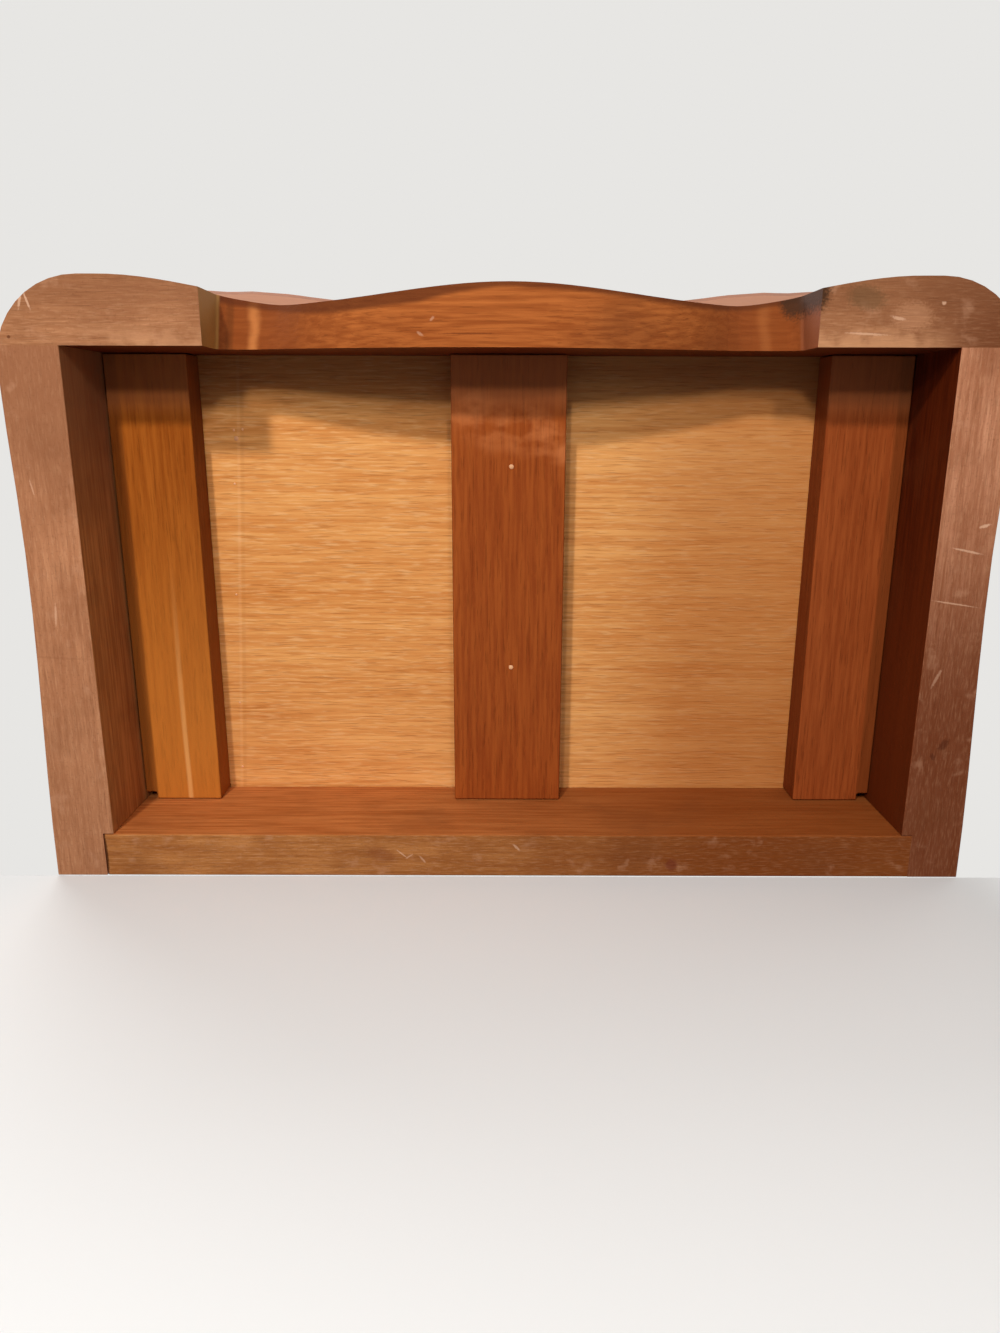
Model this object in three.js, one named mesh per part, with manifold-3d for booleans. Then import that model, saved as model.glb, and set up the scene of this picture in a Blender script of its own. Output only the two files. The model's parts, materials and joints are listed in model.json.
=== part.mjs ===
// Musical jewelry box: a solid wood case with a serpentine front, a moulded lid on two butt hinges,
// ring rolls, a lift-out tray and an eighteen-note movement wound by a key inside the box.
// Millimetres, +Z up, front towards -Y, origin at the middle of the footprint on the ground.

import * as THREE from "three";
import { mergeVertices } from "three/addons/utils/BufferGeometryUtils.js";
import Module from "manifold-3d";

const wasm = await Module();
wasm.setup();

// Fits
const glueLine = 0.1; // between glued or seated boards
const fit = 0.3; // between parts that are screwed, pinned or laid in
const runningGap = 0.4; // beside wheels and drums that turn
const boreClearance = 0.1; // on the radius, a shaft in its hole

// Case
const innerWidth = 267;
const innerDepth = 157;
const backThickness = 15.2;
const sideWaistThickness = 17.7; // at the slightest point of the side boards
const frontDipThickness = 13.3; // at the two hollows of the serpentine
const shoulderHeight = 6.5; // corner bulges above the hollows
const middleHeight = 5.3; // middle bulge above the hollows
const hollowAt = 64; // from the centre line to a hollow
const shoulderAt = 120; // from the centre line to a corner bulge
const cornerRadius = 26.4;
const backFlare = 2.8; // the sides widen towards the back
const shoulderSwell = 1.2; // and a little towards the front corner
const waistFromBack = 110;
const footGapWidth = 182;
const footGapHeight = 22;
const footGapFillet = 5;
const footArch = 15; // from a foot to where the apron starts to come down
const apronClearance = 4.5; // under the low middle of the apron
const apronLowHalf = 28; // half the length of its low middle
const backRabbet = 3.5; // the back board sits this deep in the sides

// Bottom
const recessDepth = 43;
const panelThickness = 3.2;
const panelGroove = 4;
const battenThickness = 12.7;
const sideBattenWidth = 27.8;
const centreBattenWidth = 38.5;
const battenNotchWidth = 4.2;
const battenNotchLength = 2.6;

// Lid
const lidThickness = 19;
const lidOverhang = 9.5;
const lidFillet = 2.2; // small steps of the moulded edge
const lidCove = 5.2;
const lidStep = 0.8;
const lidSeat = 0.3; // the closed lid stands this far above the case
const lidRail = 19.5; // solid rim of the lid inside the case walls
const mirrorThickness = 3;
const mirrorLap = 8; // the mat covers this much of the mirror
const matBorder = 16;
const matThickness = 1.6;
const matInset = 0.5; // above the underside of the lid

// Hinges
const hingeFromSide = 38.5; // from the inner wall to the middle of a hinge
const hingeLength = 24;
const hingeBarrelRadius = 2.6;
const hingePinRadius = 1.2;
const hingeSetback = 0.5; // from the back face to the barrel
const leafReach = 10;
const leafThickness = 1.4;

// Inside
const partitionThickness = 4;
const ringPartitionBelowRim = 4.7;
const bayAroundMovement = 2.5;
const movementHeadroom = 2.7;
const coverThickness = 2.8;
const keyRoom = 12.8; // from the cover to the rim of the case
const keyBelowRim = 2.6;
const cleatWidth = 5;
const runnerWidth = 4.5;
const runnerHeight = 8;
const trayClearance = 0.8;
const trayBelowRim = 3.9;
const trayHeight = 20;
const trayWall = 3.2;
const trayFloor = 2.6;
const dividerThickness = 2.4;
const dividerHeight = 13;
const fingerNotchRadius = 9;
const padThickness = 1.6;
const rollWidth = 15;
const rollHeight = 17;
const rollSlack = 0.25; // at each side of a roll
const rollEndGap = 0.6;

// Movement
const bedMargin = 1.5; // bedplate beyond the outermost piece it carries
const bedThickness = 2.4;
const axisHeight = 15.5; // cylinder axis above the underside of the bedplate
const crownTeeth = 30;
const crownModule = 0.7;
const crownToothLength = 2;
const barrelRim = 0.5; // drum beyond the crown
const barrelWall = 0.9;
const barrelTopThickness = 1.4;
const barrelCapThickness = 0.8;
const springThickness = 0.35;
const springTurns = 5;
const bridgeWidth = 7;
const cylinderPinionTeeth = 10;
const cylinderRadius = 6.2;
const cylinderEnd = 0.3; // bare cylinder beyond the outer notes
const pinLength = 0.6;
const pinThickness = 0.44;
const noteCount = 18;
const notePitch = 1.1;
const beatCount = 24;
const arborRadius = 1.1;
const trainModule = 0.5;
const cylinderWheelTeeth = 32;
const secondPinionTeeth = 8;
const secondArborRadius = 0.9;
const trainThickness = 2.1;
const wormModule = 0.45;
const wormWheelTeeth = 20;
const wormWheelThickness = 2.4;
const wormStarts = 2;
const wormPitchRadius = 1.8;
const wormLength = 9;
const wormEnd = 1.5; // plain shaft above the worm
const wormWheelSpace = 1.5; // free space at each side of the worm wheel
const plateThickness = 1.5;
const bracketHalfWidth = 3.4;
const bracketFoot = 3;
const bracketFootThickness = 1;
const pivotRadius = 0.6;
const flyShaftRadius = 0.95;
const flyHubRadius = 2.05;
const flyRadius = 5;
const flyThickness = 0.5;
const flyAboveBed = 2.4;
const combThickness = 1.2;
const combShortTooth = 7;
const combLongTooth = 9.4;
const combBase = 6;
const combSlot = 0.35;
const screwRadius = 1;
const screwLength = 4;
const screwHeadHeight = 1.1;
const windingRadius = 2;
const keyHalfWidth = 10;
const keyThickness = 2;
const keyHubRadius = 3.4;
const keyHubHeight = 4.6;
const stopWireRadius = 0.8;
const stopFootHeight = 1.2;

// Case and lid: levels and edges that follow from the sizes above
const insideX = innerWidth / 2;
const innerFront = backThickness + innerDepth;
const bodyDepth = innerFront + frontDipThickness + shoulderHeight;
const backFace = (bodyDepth + lidOverhang) / 2;
const waistX = insideX + sideWaistThickness;
const shoulderX = waistX + shoulderSwell;
const arcCentreX = shoulderX - cornerRadius;
const arcCentreBack = bodyDepth - cornerRadius;
const panelTop = recessDepth + panelThickness;
const floorLevel = panelTop + glueLine;

// Movement: where the train lies, measured from the left and back edges of its bedplate
const crownRadius = (crownModule * crownTeeth) / 2;
const crownPinionRadius = (crownModule * cylinderPinionTeeth) / 2;
const barrelRadius = crownRadius + crownToothLength / 2 + barrelRim;
const cylinderLength = noteCount * notePitch + 2 * cylinderEnd;
const wheelRadius = (trainModule * cylinderWheelTeeth) / 2;
const secondPinionRadius = (trainModule * secondPinionTeeth) / 2;
const wormWheelRadius = (wormModule * wormWheelTeeth) / 2;
const flyBehindAxis = wheelRadius + secondPinionRadius + wormWheelRadius + wormPitchRadius;
const postInner = barrelRadius + runningGap;
const postOuter = postInner + plateThickness;
const barrelAt = bedMargin + barrelRadius;
const leftBracketAt = barrelAt + barrelRadius + runningGap;
const cylinderAt = leftBracketAt + plateThickness + runningGap;
const wheelAt = cylinderAt + cylinderLength + runningGap;
const rightBracketAt = wheelAt + trainThickness + runningGap;
const wormWheelAt = rightBracketAt + plateThickness + wormWheelSpace;
const outerPlateAt = wormWheelAt + wormWheelThickness + wormWheelSpace;
const flyAt = wormWheelAt + wormWheelThickness / 2;
const stopAt = flyAt + flyRadius + 3 * runningGap + stopWireRadius;
const lastFoot = outerPlateAt + plateThickness + bracketFoot;
const bedLength = Math.max(lastFoot, stopAt + stopWireRadius + boreClearance) + bedMargin;
const combTipGap = cylinderRadius + pinLength + fit;
const combReach = combTipGap + combLongTooth + combBase;
const behindAxis = Math.max(flyBehindAxis + Math.max(flyRadius, bracketHalfWidth), postOuter) + bedMargin;
const bedWidth = behindAxis + Math.max(combReach, postOuter) + bedMargin;

// and where the bay for it leaves it in the case
const bedX = insideX - bayAroundMovement - bedLength;
const bedBack = backThickness + bayAroundMovement;
const bedFront = bedBack + bedWidth;
const bedZ = floorLevel;
const bedTop = bedZ + bedThickness;
const bayX = bedX - bayAroundMovement;
const bayFront = bedFront + bayAroundMovement;
const barrelX = bedX + barrelAt;
const crownMeshX = barrelX + crownRadius;
const leftBracketX = bedX + leftBracketAt;
const cylinderX = bedX + cylinderAt;
const wheelX = bedX + wheelAt;
const rightBracketX = bedX + rightBracketAt;
const wormWheelX = bedX + wormWheelAt;
const outerPlateX = bedX + outerPlateAt;
const flyX = bedX + flyAt;
const stopX = bedX + stopAt;
const axisBack = bedBack + behindAxis;
const axisY = backFace - axisBack;
const axisZ = bedZ + axisHeight;
const secondBack = axisBack - wheelRadius - secondPinionRadius;
const secondY = backFace - secondBack;
const flyBack = axisBack - flyBehindAxis;
const flyY = backFace - flyBack;
const wormZ0 = axisZ - wormLength / 2;
const shaftTop = wormZ0 + wormLength + wormEnd;
const frameTop = shaftTop + fit + plateThickness;
const bayTop = frameTop + movementHeadroom;
const coverBottom = bayTop + glueLine;
const coverTop = coverBottom + coverThickness;

// The case is as high as the movement, its cover and the key need.
const bodyHeight = coverTop + keyRoom;
const lidBottom = bodyHeight + lidSeat;
const lidTop = lidBottom + lidThickness;

// Geometry helpers

// A position-only, merged geometry with its faces out and no empty triangles.
function cleaned(geometry) {
  const bare = geometry.clone();
  bare.deleteAttribute("normal");
  bare.deleteAttribute("uv");
  const merged = mergeVertices(bare, 1e-4);
  const source = merged.index.array;
  const kept = [];
  for (let i = 0; i < source.length; i += 3) {
    const [a, b, c] = [source[i], source[i + 1], source[i + 2]];
    if (a !== b && b !== c && c !== a) kept.push(a, b, c);
  }
  const p = merged.attributes.position;
  const corner = (i) => new THREE.Vector3().fromBufferAttribute(p, i);
  let volume = 0;
  for (let i = 0; i < kept.length; i += 3) {
    volume += corner(kept[i]).dot(corner(kept[i + 1]).cross(corner(kept[i + 2])));
  }
  if (volume < 0) kept.reverse();
  merged.setIndex(kept);
  return merged;
}

function solidOf(geometry) {
  const g = cleaned(geometry);
  const vertProperties = new Float32Array(g.attributes.position.array);
  const triVerts = new Uint32Array(g.index.array);
  return new wasm.Manifold(new wasm.Mesh({ numProp: 3, vertProperties, triVerts }));
}

function geometryOf(solid) {
  const mesh = solid.getMesh();
  const g = new THREE.BufferGeometry();
  g.setAttribute("position", new THREE.BufferAttribute(mesh.vertProperties, 3));
  g.setIndex(new THREE.BufferAttribute(mesh.triVerts, 1));
  return g;
}

function joined(...pieces) {
  return pieces.reduce((whole, piece) => whole.add(piece));
}

function cutBy(solid, ...tools) {
  return tools.reduce((left, tool) => left.subtract(tool), solid);
}

// A box between two X, two distances from the back face and two heights.
function block(x0, x1, fromBack0, fromBack1, z0, z1) {
  const g = new THREE.BoxGeometry(x1 - x0, fromBack1 - fromBack0, z1 - z0);
  g.translate((x0 + x1) / 2, backFace - (fromBack0 + fromBack1) / 2, (z0 + z1) / 2);
  return solidOf(g);
}

// A flat outline in X and Y raised from z0 to z1.
function standing(points, z0, z1, curveSegments = 8) {
  const shape = points instanceof THREE.Shape ? points : new THREE.Shape(points);
  const g = new THREE.ExtrudeGeometry(shape, { depth: z1 - z0, bevelEnabled: false, curveSegments });
  g.translate(0, 0, z0);
  return solidOf(g);
}

const alongX = new THREE.Matrix4().makeBasis(
  new THREE.Vector3(0, 1, 0),
  new THREE.Vector3(0, 0, 1),
  new THREE.Vector3(1, 0, 0),
);
const alongFront = new THREE.Matrix4().makeBasis(
  new THREE.Vector3(1, 0, 0),
  new THREE.Vector3(0, 0, 1),
  new THREE.Vector3(0, -1, 0),
);

// A profile in X and Z carried from one distance from the back face to another.
function carriedForward(points, fromBack0, fromBack1, curveSegments = 8) {
  const shape = points instanceof THREE.Shape ? points : new THREE.Shape(points);
  const depth = fromBack1 - fromBack0;
  const g = new THREE.ExtrudeGeometry(shape, { depth, bevelEnabled: false, curveSegments });
  g.applyMatrix4(alongFront);
  g.translate(0, backFace - fromBack0, 0);
  return solidOf(g);
}

// A profile of distances from the back face and heights carried from x0 to x1.
function carriedAcross(points, x0, x1) {
  const turnedRound = points.map(([fromBack, z]) => new THREE.Vector2(backFace - fromBack, z));
  const depth = x1 - x0;
  const g = new THREE.ExtrudeGeometry(new THREE.Shape(turnedRound), { depth, bevelEnabled: false });
  g.applyMatrix4(alongX);
  g.translate(x0, 0, 0);
  return solidOf(g);
}

// A profile of radius and height turned round a vertical axis.
function turnedUpright(profile, x, y, segments = 24) {
  const points = profile.map(([r, z]) => new THREE.Vector2(r, z));
  const g = new THREE.LatheGeometry([...points, points[0].clone()], segments);
  g.rotateX(Math.PI / 2);
  g.translate(x, y, 0);
  return solidOf(g);
}

// A profile of radius and X turned round an axis along X.
function turnedAcross(profile, y, z, segments = 24) {
  const points = profile.map(([r, x]) => new THREE.Vector2(r, x));
  const g = new THREE.LatheGeometry([...points, points[0].clone()], segments);
  g.rotateZ(-Math.PI / 2);
  g.translate(0, y, z);
  return solidOf(g);
}

const rod = (radius, start, end) => [
  [0, start],
  [radius, start],
  [radius, end],
  [0, end],
];

const tube = (inner, outer, start, end) => [
  [inner, start],
  [outer, start],
  [outer, end],
  [inner, end],
];

// Closed outlines of equal length, one above the other, joined to a solid along Z.
function lofted(sections) {
  const count = sections[0].points.length;
  const positions = [];
  for (const { points, z } of sections) {
    for (const p of points) positions.push(p.x, p.y, z);
  }
  const index = [];
  for (let s = 0; s + 1 < sections.length; s++) {
    for (let i = 0; i < count; i++) {
      const a = s * count + i;
      const b = s * count + ((i + 1) % count);
      index.push(a, b, b + count, a, b + count, a + count);
    }
  }
  const last = (sections.length - 1) * count;
  const capBelow = THREE.ShapeUtils.triangulateShape(sections[0].points, []);
  const capAbove = THREE.ShapeUtils.triangulateShape(sections.at(-1).points, []);
  for (const [a, b, c] of capBelow) index.push(c, b, a);
  for (const [a, b, c] of capAbove) index.push(last + a, last + b, last + c);
  const g = new THREE.BufferGeometry();
  g.setAttribute("position", new THREE.Float32BufferAttribute(positions, 3));
  g.setIndex(index);
  return g;
}

const materials = {
  boardWood: { color: 0xa86a45, roughness: 0.62 },
  battenWood: { color: 0x93512f, roughness: 0.58 },
  plywood: { color: 0xd69a63, roughness: 0.66 },
  lidWood: { color: 0x9a5a3a, roughness: 0.42 },
  liningCloth: { color: 0x7c1f2c, roughness: 0.95 },
  brass: { color: 0xb8924a, roughness: 0.32, metalness: 1 },
  steel: { color: 0xb9bcc0, roughness: 0.28, metalness: 1 },
  mirror: { color: 0xdfe4e6, roughness: 0.05, metalness: 1 },
  clear: { color: 0xe6eef0, roughness: 0.08, transparent: true, opacity: 0.3 },
};
for (const name of Object.keys(materials)) {
  materials[name] = new THREE.MeshStandardMaterial(materials[name]);
}

const box = new THREE.Group();

function place(name, material, solid) {
  const mesh = new THREE.Mesh(geometryOf(solid), materials[material]);
  mesh.name = name;
  box.add(mesh);
  return mesh;
}

// Plan of the case

const halfWave = (t) => (1 - Math.cos(Math.PI * Math.min(Math.max(t, 0), 1))) / 2;

function sideX(fromBack) {
  if (fromBack < waistFromBack) return waistX + backFlare * (1 - halfWave(fromBack / waistFromBack));
  const rise = (fromBack - waistFromBack) / (arcCentreBack - waistFromBack);
  return waistX + shoulderSwell * halfWave(rise);
}

function frontFromBack(x) {
  const far = Math.abs(x);
  const hollow = innerFront + frontDipThickness;
  if (far < hollowAt) return hollow + middleHeight * (1 - halfWave(far / hollowAt));
  return hollow + shoulderHeight * halfWave((far - hollowAt) / (shoulderAt - hollowAt));
}

// Half of the plan, from the middle of the front to the back corner, as X and distance from the back.
function halfPlan() {
  const points = [];
  const frontSteps = 28;
  for (let i = 0; i <= frontSteps; i++) {
    const x = (arcCentreX * i) / frontSteps;
    points.push([x, frontFromBack(x)]);
  }
  const arcSteps = 10;
  for (let i = 1; i <= arcSteps; i++) {
    const a = (Math.PI / 2) * (1 - i / arcSteps);
    points.push([arcCentreX + cornerRadius * Math.cos(a), arcCentreBack + cornerRadius * Math.sin(a)]);
  }
  const sideSteps = 9;
  for (let i = 1; i <= sideSteps; i++) {
    const fromBack = arcCentreBack * (1 - i / sideSteps);
    points.push([sideX(fromBack), fromBack]);
  }
  return points;
}

// The whole plan grown outwards by a distance, its back edge left where it is.
function planOutline(grown) {
  const half = halfPlan();
  const grownHalf = half.map(([x, back], i) => {
    const [x0, b0] = half[Math.max(i - 1, 0)];
    const [x1, b1] = half[Math.min(i + 1, half.length - 1)];
    const along = new THREE.Vector2(x1 - x0, b1 - b0).normalize();
    const outward = i === 0 ? new THREE.Vector2(0, 1) : new THREE.Vector2(-along.y, along.x);
    const last = i === half.length - 1;
    return [x + grown * (last ? 1 : outward.x), last ? 0 : back + grown * outward.y];
  });
  const right = grownHalf.map(([x, back]) => new THREE.Vector2(x, backFace - back));
  const left = grownHalf.slice(1).map(([x, back]) => new THREE.Vector2(-x, backFace - back));
  return [...left.reverse(), ...right];
}

const beyond = 30; // how far a cutting tool reaches past what it cuts
const caseBlock = standing(planOutline(0), 0, bodyHeight);
const grooveTool = block(
  -insideX - panelGroove,
  insideX + panelGroove,
  backThickness - panelGroove,
  innerFront + panelGroove,
  recessDepth - glueLine,
  floorLevel,
);

// The back edges of case and lid are bevelled so that the hinge barrels lie between them.
const barrelRoom = hingeBarrelRadius + fit;
const hingeInset = hingeBarrelRadius + hingeSetback;
const hingeZ = (bodyHeight + lidBottom) / 2;
const bevel = barrelRoom * Math.SQRT2 + hingeInset - lidSeat / 2;
const caseBevelTool = carriedAcross(
  [
    [-beyond, bodyHeight - bevel - beyond],
    [bevel + beyond, bodyHeight + beyond],
    [-beyond, bodyHeight + beyond],
  ],
  -waistX - beyond,
  waistX + beyond,
);
const lidBevelTool = carriedAcross(
  [
    [-beyond, lidBottom + bevel + beyond],
    [-beyond, lidBottom - beyond],
    [bevel + beyond, lidBottom - beyond],
  ],
  -waistX - beyond,
  waistX + beyond,
);

// Front board: serpentine face, flat inside. Its lower edge is cut out between two bracket feet: an
// arch beside each foot, from which the apron comes down in an ogee to its low middle.
const footX = footGapWidth / 2;
const archX = footX - footArch;
const ogeeLength = archX - apronLowHalf;
const footGap = new THREE.Shape();
footGap.moveTo(-footX, -beyond);
footGap.lineTo(footX, -beyond);
footGap.lineTo(footX, footGapHeight - footGapFillet);
footGap.absarc(footX - footGapFillet, footGapHeight - footGapFillet, footGapFillet, 0, Math.PI / 2);
footGap.lineTo(archX, footGapHeight);
footGap.bezierCurveTo(
  archX - 0.2 * ogeeLength,
  footGapHeight,
  archX - 0.25 * ogeeLength,
  apronClearance,
  apronLowHalf,
  apronClearance,
);
footGap.lineTo(-apronLowHalf, apronClearance);
footGap.bezierCurveTo(
  0.25 * ogeeLength - archX,
  apronClearance,
  0.2 * ogeeLength - archX,
  footGapHeight,
  -archX,
  footGapHeight,
);
footGap.lineTo(footGapFillet - footX, footGapHeight);
footGap.absarc(footGapFillet - footX, footGapHeight - footGapFillet, footGapFillet, Math.PI / 2, Math.PI);
const footGapTool = carriedForward(footGap, innerFront - beyond, bodyDepth + beyond, 10);
const wide = waistX + beyond;
const frontZone = block(-wide, wide, innerFront, bodyDepth + beyond, -1, bodyHeight + 1);
const frontStock = caseBlock.intersect(frontZone);
place("front_board", "boardWood", cutBy(frontStock, footGapTool, grooveTool));

// Side boards: butted against the front board, rabbeted for the back board.
const backTool = block(
  -insideX - backRabbet,
  insideX + backRabbet,
  -beyond,
  backThickness + glueLine,
  -1,
  bodyHeight + 1,
);
const sideEnd = innerFront - glueLine;
const leftStock = caseBlock.intersect(block(-wide, -insideX, -1, sideEnd, -1, bodyHeight + 1));
const rightStock = caseBlock.intersect(block(insideX, wide, -1, sideEnd, -1, bodyHeight + 1));
place("left_side_board", "boardWood", cutBy(leftStock, grooveTool, backTool, caseBevelTool));
place("right_side_board", "boardWood", cutBy(rightStock, grooveTool, backTool, caseBevelTool));

// Mortises for the hinge leaves, in the back board and in the lid.
const hingeMiddles = [hingeFromSide - insideX, insideX - hingeFromSide];
const leafRoom = glueLine;
function mortise(middle, z0, z1) {
  const half = hingeLength / 2 + leafRoom;
  return block(middle - half, middle + half, -1, hingeInset + leafReach + leafRoom, z0, z1);
}
const caseMortises = hingeMiddles.map((x) =>
  mortise(x, bodyHeight - leafThickness - leafRoom, bodyHeight + 1),
);
const lidMortises = hingeMiddles.map((x) =>
  mortise(x, lidBottom - 1, lidBottom + leafThickness + leafRoom),
);
const backHalf = insideX + backRabbet - glueLine;
const backStock = block(-backHalf, backHalf, 0, backThickness, 0, bodyHeight);
place("back_board", "boardWood", cutBy(backStock, grooveTool, caseBevelTool, ...caseMortises));

// Bottom: a thin panel let into grooves, stiffened from below by three battens.
const panelEdge = panelGroove - fit;
place(
  "bottom_panel",
  "plywood",
  block(
    -insideX - panelEdge,
    insideX + panelEdge,
    backThickness - panelEdge,
    innerFront + panelEdge,
    recessDepth,
    panelTop,
  ),
);
const battenTop = recessDepth - glueLine;
const battenEnd = backThickness + fit;
function batten(name, x0, x1, ...notches) {
  const stock = block(x0, x1, battenEnd, innerFront - fit, battenTop - battenThickness, battenTop);
  place(name, "battenWood", cutBy(stock, ...notches));
}
// A side batten's outer rear corner is cut away, clear of the glue in the corner of the case.
function battenNotch(side) {
  const x0 = insideX - battenNotchWidth;
  const [from, to] = side < 0 ? [-insideX, -x0] : [x0, insideX];
  const foot = battenTop - battenThickness - 1;
  return block(from, to, battenEnd - 1, battenEnd + battenNotchLength, foot, battenTop + 1);
}
batten("left_batten", -insideX + fit, -insideX + sideBattenWidth, battenNotch(-1));
batten("centre_batten", -centreBattenWidth / 2, centreBattenWidth / 2);
batten("right_batten", insideX - sideBattenWidth, insideX - fit, battenNotch(1));

// Partitions: one beside the ring rolls, two round the movement with a cleat for its cover.
const ringPartitionX = -insideX + 2 * (rollWidth + 2 * rollSlack);
const ringPartitionTop = bodyHeight - ringPartitionBelowRim;
const partitionBack = backThickness + fit;
const partitionFront = innerFront - fit;
const ringPartitionEnd = ringPartitionX + partitionThickness;
place(
  "ring_partition",
  "battenWood",
  block(ringPartitionX, ringPartitionEnd, partitionBack, partitionFront, floorLevel, ringPartitionTop),
);
place(
  "centre_partition",
  "battenWood",
  block(bayX - partitionThickness, bayX, partitionBack, partitionFront, floorLevel, bayTop),
);
const bayPartitionEnd = bayFront + partitionThickness;
place(
  "movement_partition",
  "battenWood",
  block(bayX + fit, insideX - fit, bayFront, bayPartitionEnd, floorLevel, bayTop),
);
const cleatBack = flyBack + flyRadius;
place(
  "cover_cleat",
  "battenWood",
  block(insideX - cleatWidth, insideX - fit, cleatBack, bayFront - fit, bayTop - cleatWidth, bayTop),
);

// Movement cover: a clear plate over the bay, pierced for the winding arbor and the stop wire.
const coverStock = block(
  bayX - partitionThickness,
  insideX - fit,
  partitionBack,
  bayPartitionEnd,
  coverBottom,
  coverTop,
);
place(
  "movement_cover",
  "clear",
  cutBy(
    coverStock,
    turnedUpright(rod(windingRadius + fit, coverBottom - 1, coverTop + 1), barrelX, axisY, 20),
    turnedUpright(rod(stopWireRadius + fit, coverBottom - 1, coverTop + 1), stopX, flyY, 12),
  ),
);

// Linings laid on the bottom panel
const trayX0 = ringPartitionEnd;
const trayX1 = bayX - partitionThickness;
const liningTop = floorLevel + padThickness;
place(
  "well_lining",
  "liningCloth",
  block(trayX0 + fit, trayX1 - fit, partitionBack, partitionFront, floorLevel, liningTop),
);
place(
  "side_well_lining",
  "liningCloth",
  block(bayX + fit, insideX - fit, bayPartitionEnd + fit, partitionFront, floorLevel, liningTop),
);

// Ring rolls: two soft half-round bolsters side by side in the narrow bay.
function ringRoll(name, middleX) {
  const length = innerDepth - 2 * rollEndGap;
  const endSteps = [0, 0.012, 0.04, 0.09];
  const stations = [...endSteps, 0.5, ...endSteps.map((t) => 1 - t).reverse()];
  const sections = stations.map((t) => {
    const nearEnd = Math.min(t, 1 - t) / endSteps.at(-1);
    const fullness = 0.8 + 0.2 * Math.sin((Math.min(nearEnd, 1) * Math.PI) / 2);
    const points = [];
    const archSteps = 12;
    for (let i = 0; i <= archSteps; i++) {
      const a = (Math.PI * i) / archSteps;
      const x = (rollWidth / 2) * fullness * Math.cos(a);
      const spring = rollHeight - rollWidth / 2;
      points.push(new THREE.Vector2(x, spring + (rollWidth / 2) * fullness * Math.sin(a)));
    }
    points.push(new THREE.Vector2((-rollWidth / 2) * fullness * 0.94, 0));
    points.push(new THREE.Vector2((rollWidth / 2) * fullness * 0.94, 0));
    return { points, z: length * t };
  });
  const g = lofted(sections);
  g.applyMatrix4(alongFront);
  g.translate(middleX, backFace - backThickness - rollEndGap, floorLevel + glueLine);
  place(name, "liningCloth", solidOf(g));
}
ringRoll("ring_roll_outer", -insideX + rollWidth / 2 + rollSlack);
ringRoll("ring_roll_inner", ringPartitionX - rollWidth / 2 - rollSlack);

// Tray runners and the lift-out tray
const trayBottom = bodyHeight - trayBelowRim - trayHeight;
const runnerTop = trayBottom - glueLine;
const runnerFoot = runnerTop - runnerHeight;
function runner(name, fromBack) {
  const end = fromBack + runnerWidth;
  place(name, "battenWood", block(trayX0 + fit, trayX1 - fit, fromBack, end, runnerFoot, runnerTop));
}
runner("back_tray_runner", partitionBack);
runner("front_tray_runner", partitionFront - runnerWidth);

const tray = { x0: trayX0 + trayClearance, x1: trayX1 - trayClearance };
tray.back = backThickness + trayClearance;
tray.front = innerFront - trayClearance;
tray.top = trayBottom + trayHeight;
const trayInside = {
  x0: tray.x0 + trayWall,
  x1: tray.x1 - trayWall,
  back: tray.back + trayWall,
  front: tray.front - trayWall,
  floor: trayBottom + trayFloor,
};
const trayMiddleBack = (tray.back + tray.front) / 2;
const notchShape = new THREE.Shape();
notchShape.absarc(backFace - trayMiddleBack, tray.top, fingerNotchRadius, 0, 2 * Math.PI);
const notchGeometry = new THREE.ExtrudeGeometry(notchShape, {
  depth: tray.x1 - tray.x0 + 2,
  bevelEnabled: false,
  curveSegments: 12,
});
notchGeometry.applyMatrix4(alongX);
notchGeometry.translate(tray.x0 - 1, 0, 0);
place(
  "tray",
  "battenWood",
  cutBy(
    block(tray.x0, tray.x1, tray.back, tray.front, trayBottom, tray.top),
    block(trayInside.x0, trayInside.x1, trayInside.back, trayInside.front, trayInside.floor, tray.top + 1),
    solidOf(notchGeometry),
  ),
);
const trayPitch = (trayInside.x1 - trayInside.x0) / 3;
const dividerZ = trayInside.floor + glueLine;
const dividerTop = dividerZ + dividerHeight;
const halfDivider = dividerThickness / 2;
const longDivider = { back: trayMiddleBack - halfDivider, front: trayMiddleBack + halfDivider };
place(
  "tray_long_divider",
  "battenWood",
  block(
    trayInside.x0 + fit,
    trayInside.x1 - fit,
    longDivider.back,
    longDivider.front,
    dividerZ,
    dividerTop,
  ),
);
for (const [side, x] of [
  ["left", trayInside.x0 + trayPitch],
  ["right", trayInside.x0 + 2 * trayPitch],
]) {
  place(
    "tray_short_divider_" + side,
    "battenWood",
    block(
      x - halfDivider,
      x + halfDivider,
      longDivider.front + fit,
      trayInside.front - fit,
      dividerZ,
      dividerTop,
    ),
  );
}
function trayPad(name, x0, x1, fromBack0, fromBack1) {
  place(
    name,
    "liningCloth",
    block(x0 + fit, x1 - fit, fromBack0 + fit, fromBack1 - fit, dividerZ, dividerZ + padThickness),
  );
}
trayPad("tray_pad_back", trayInside.x0, trayInside.x1, trayInside.back, longDivider.back);
["left", "middle", "right"].forEach((side, i) => {
  trayPad(
    "tray_pad_" + side,
    trayInside.x0 + i * trayPitch + (i > 0 ? halfDivider : 0),
    trayInside.x0 + (i + 1) * trayPitch - (i < 2 ? halfDivider : 0),
    longDivider.front,
    trayInside.front,
  );
});

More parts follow.
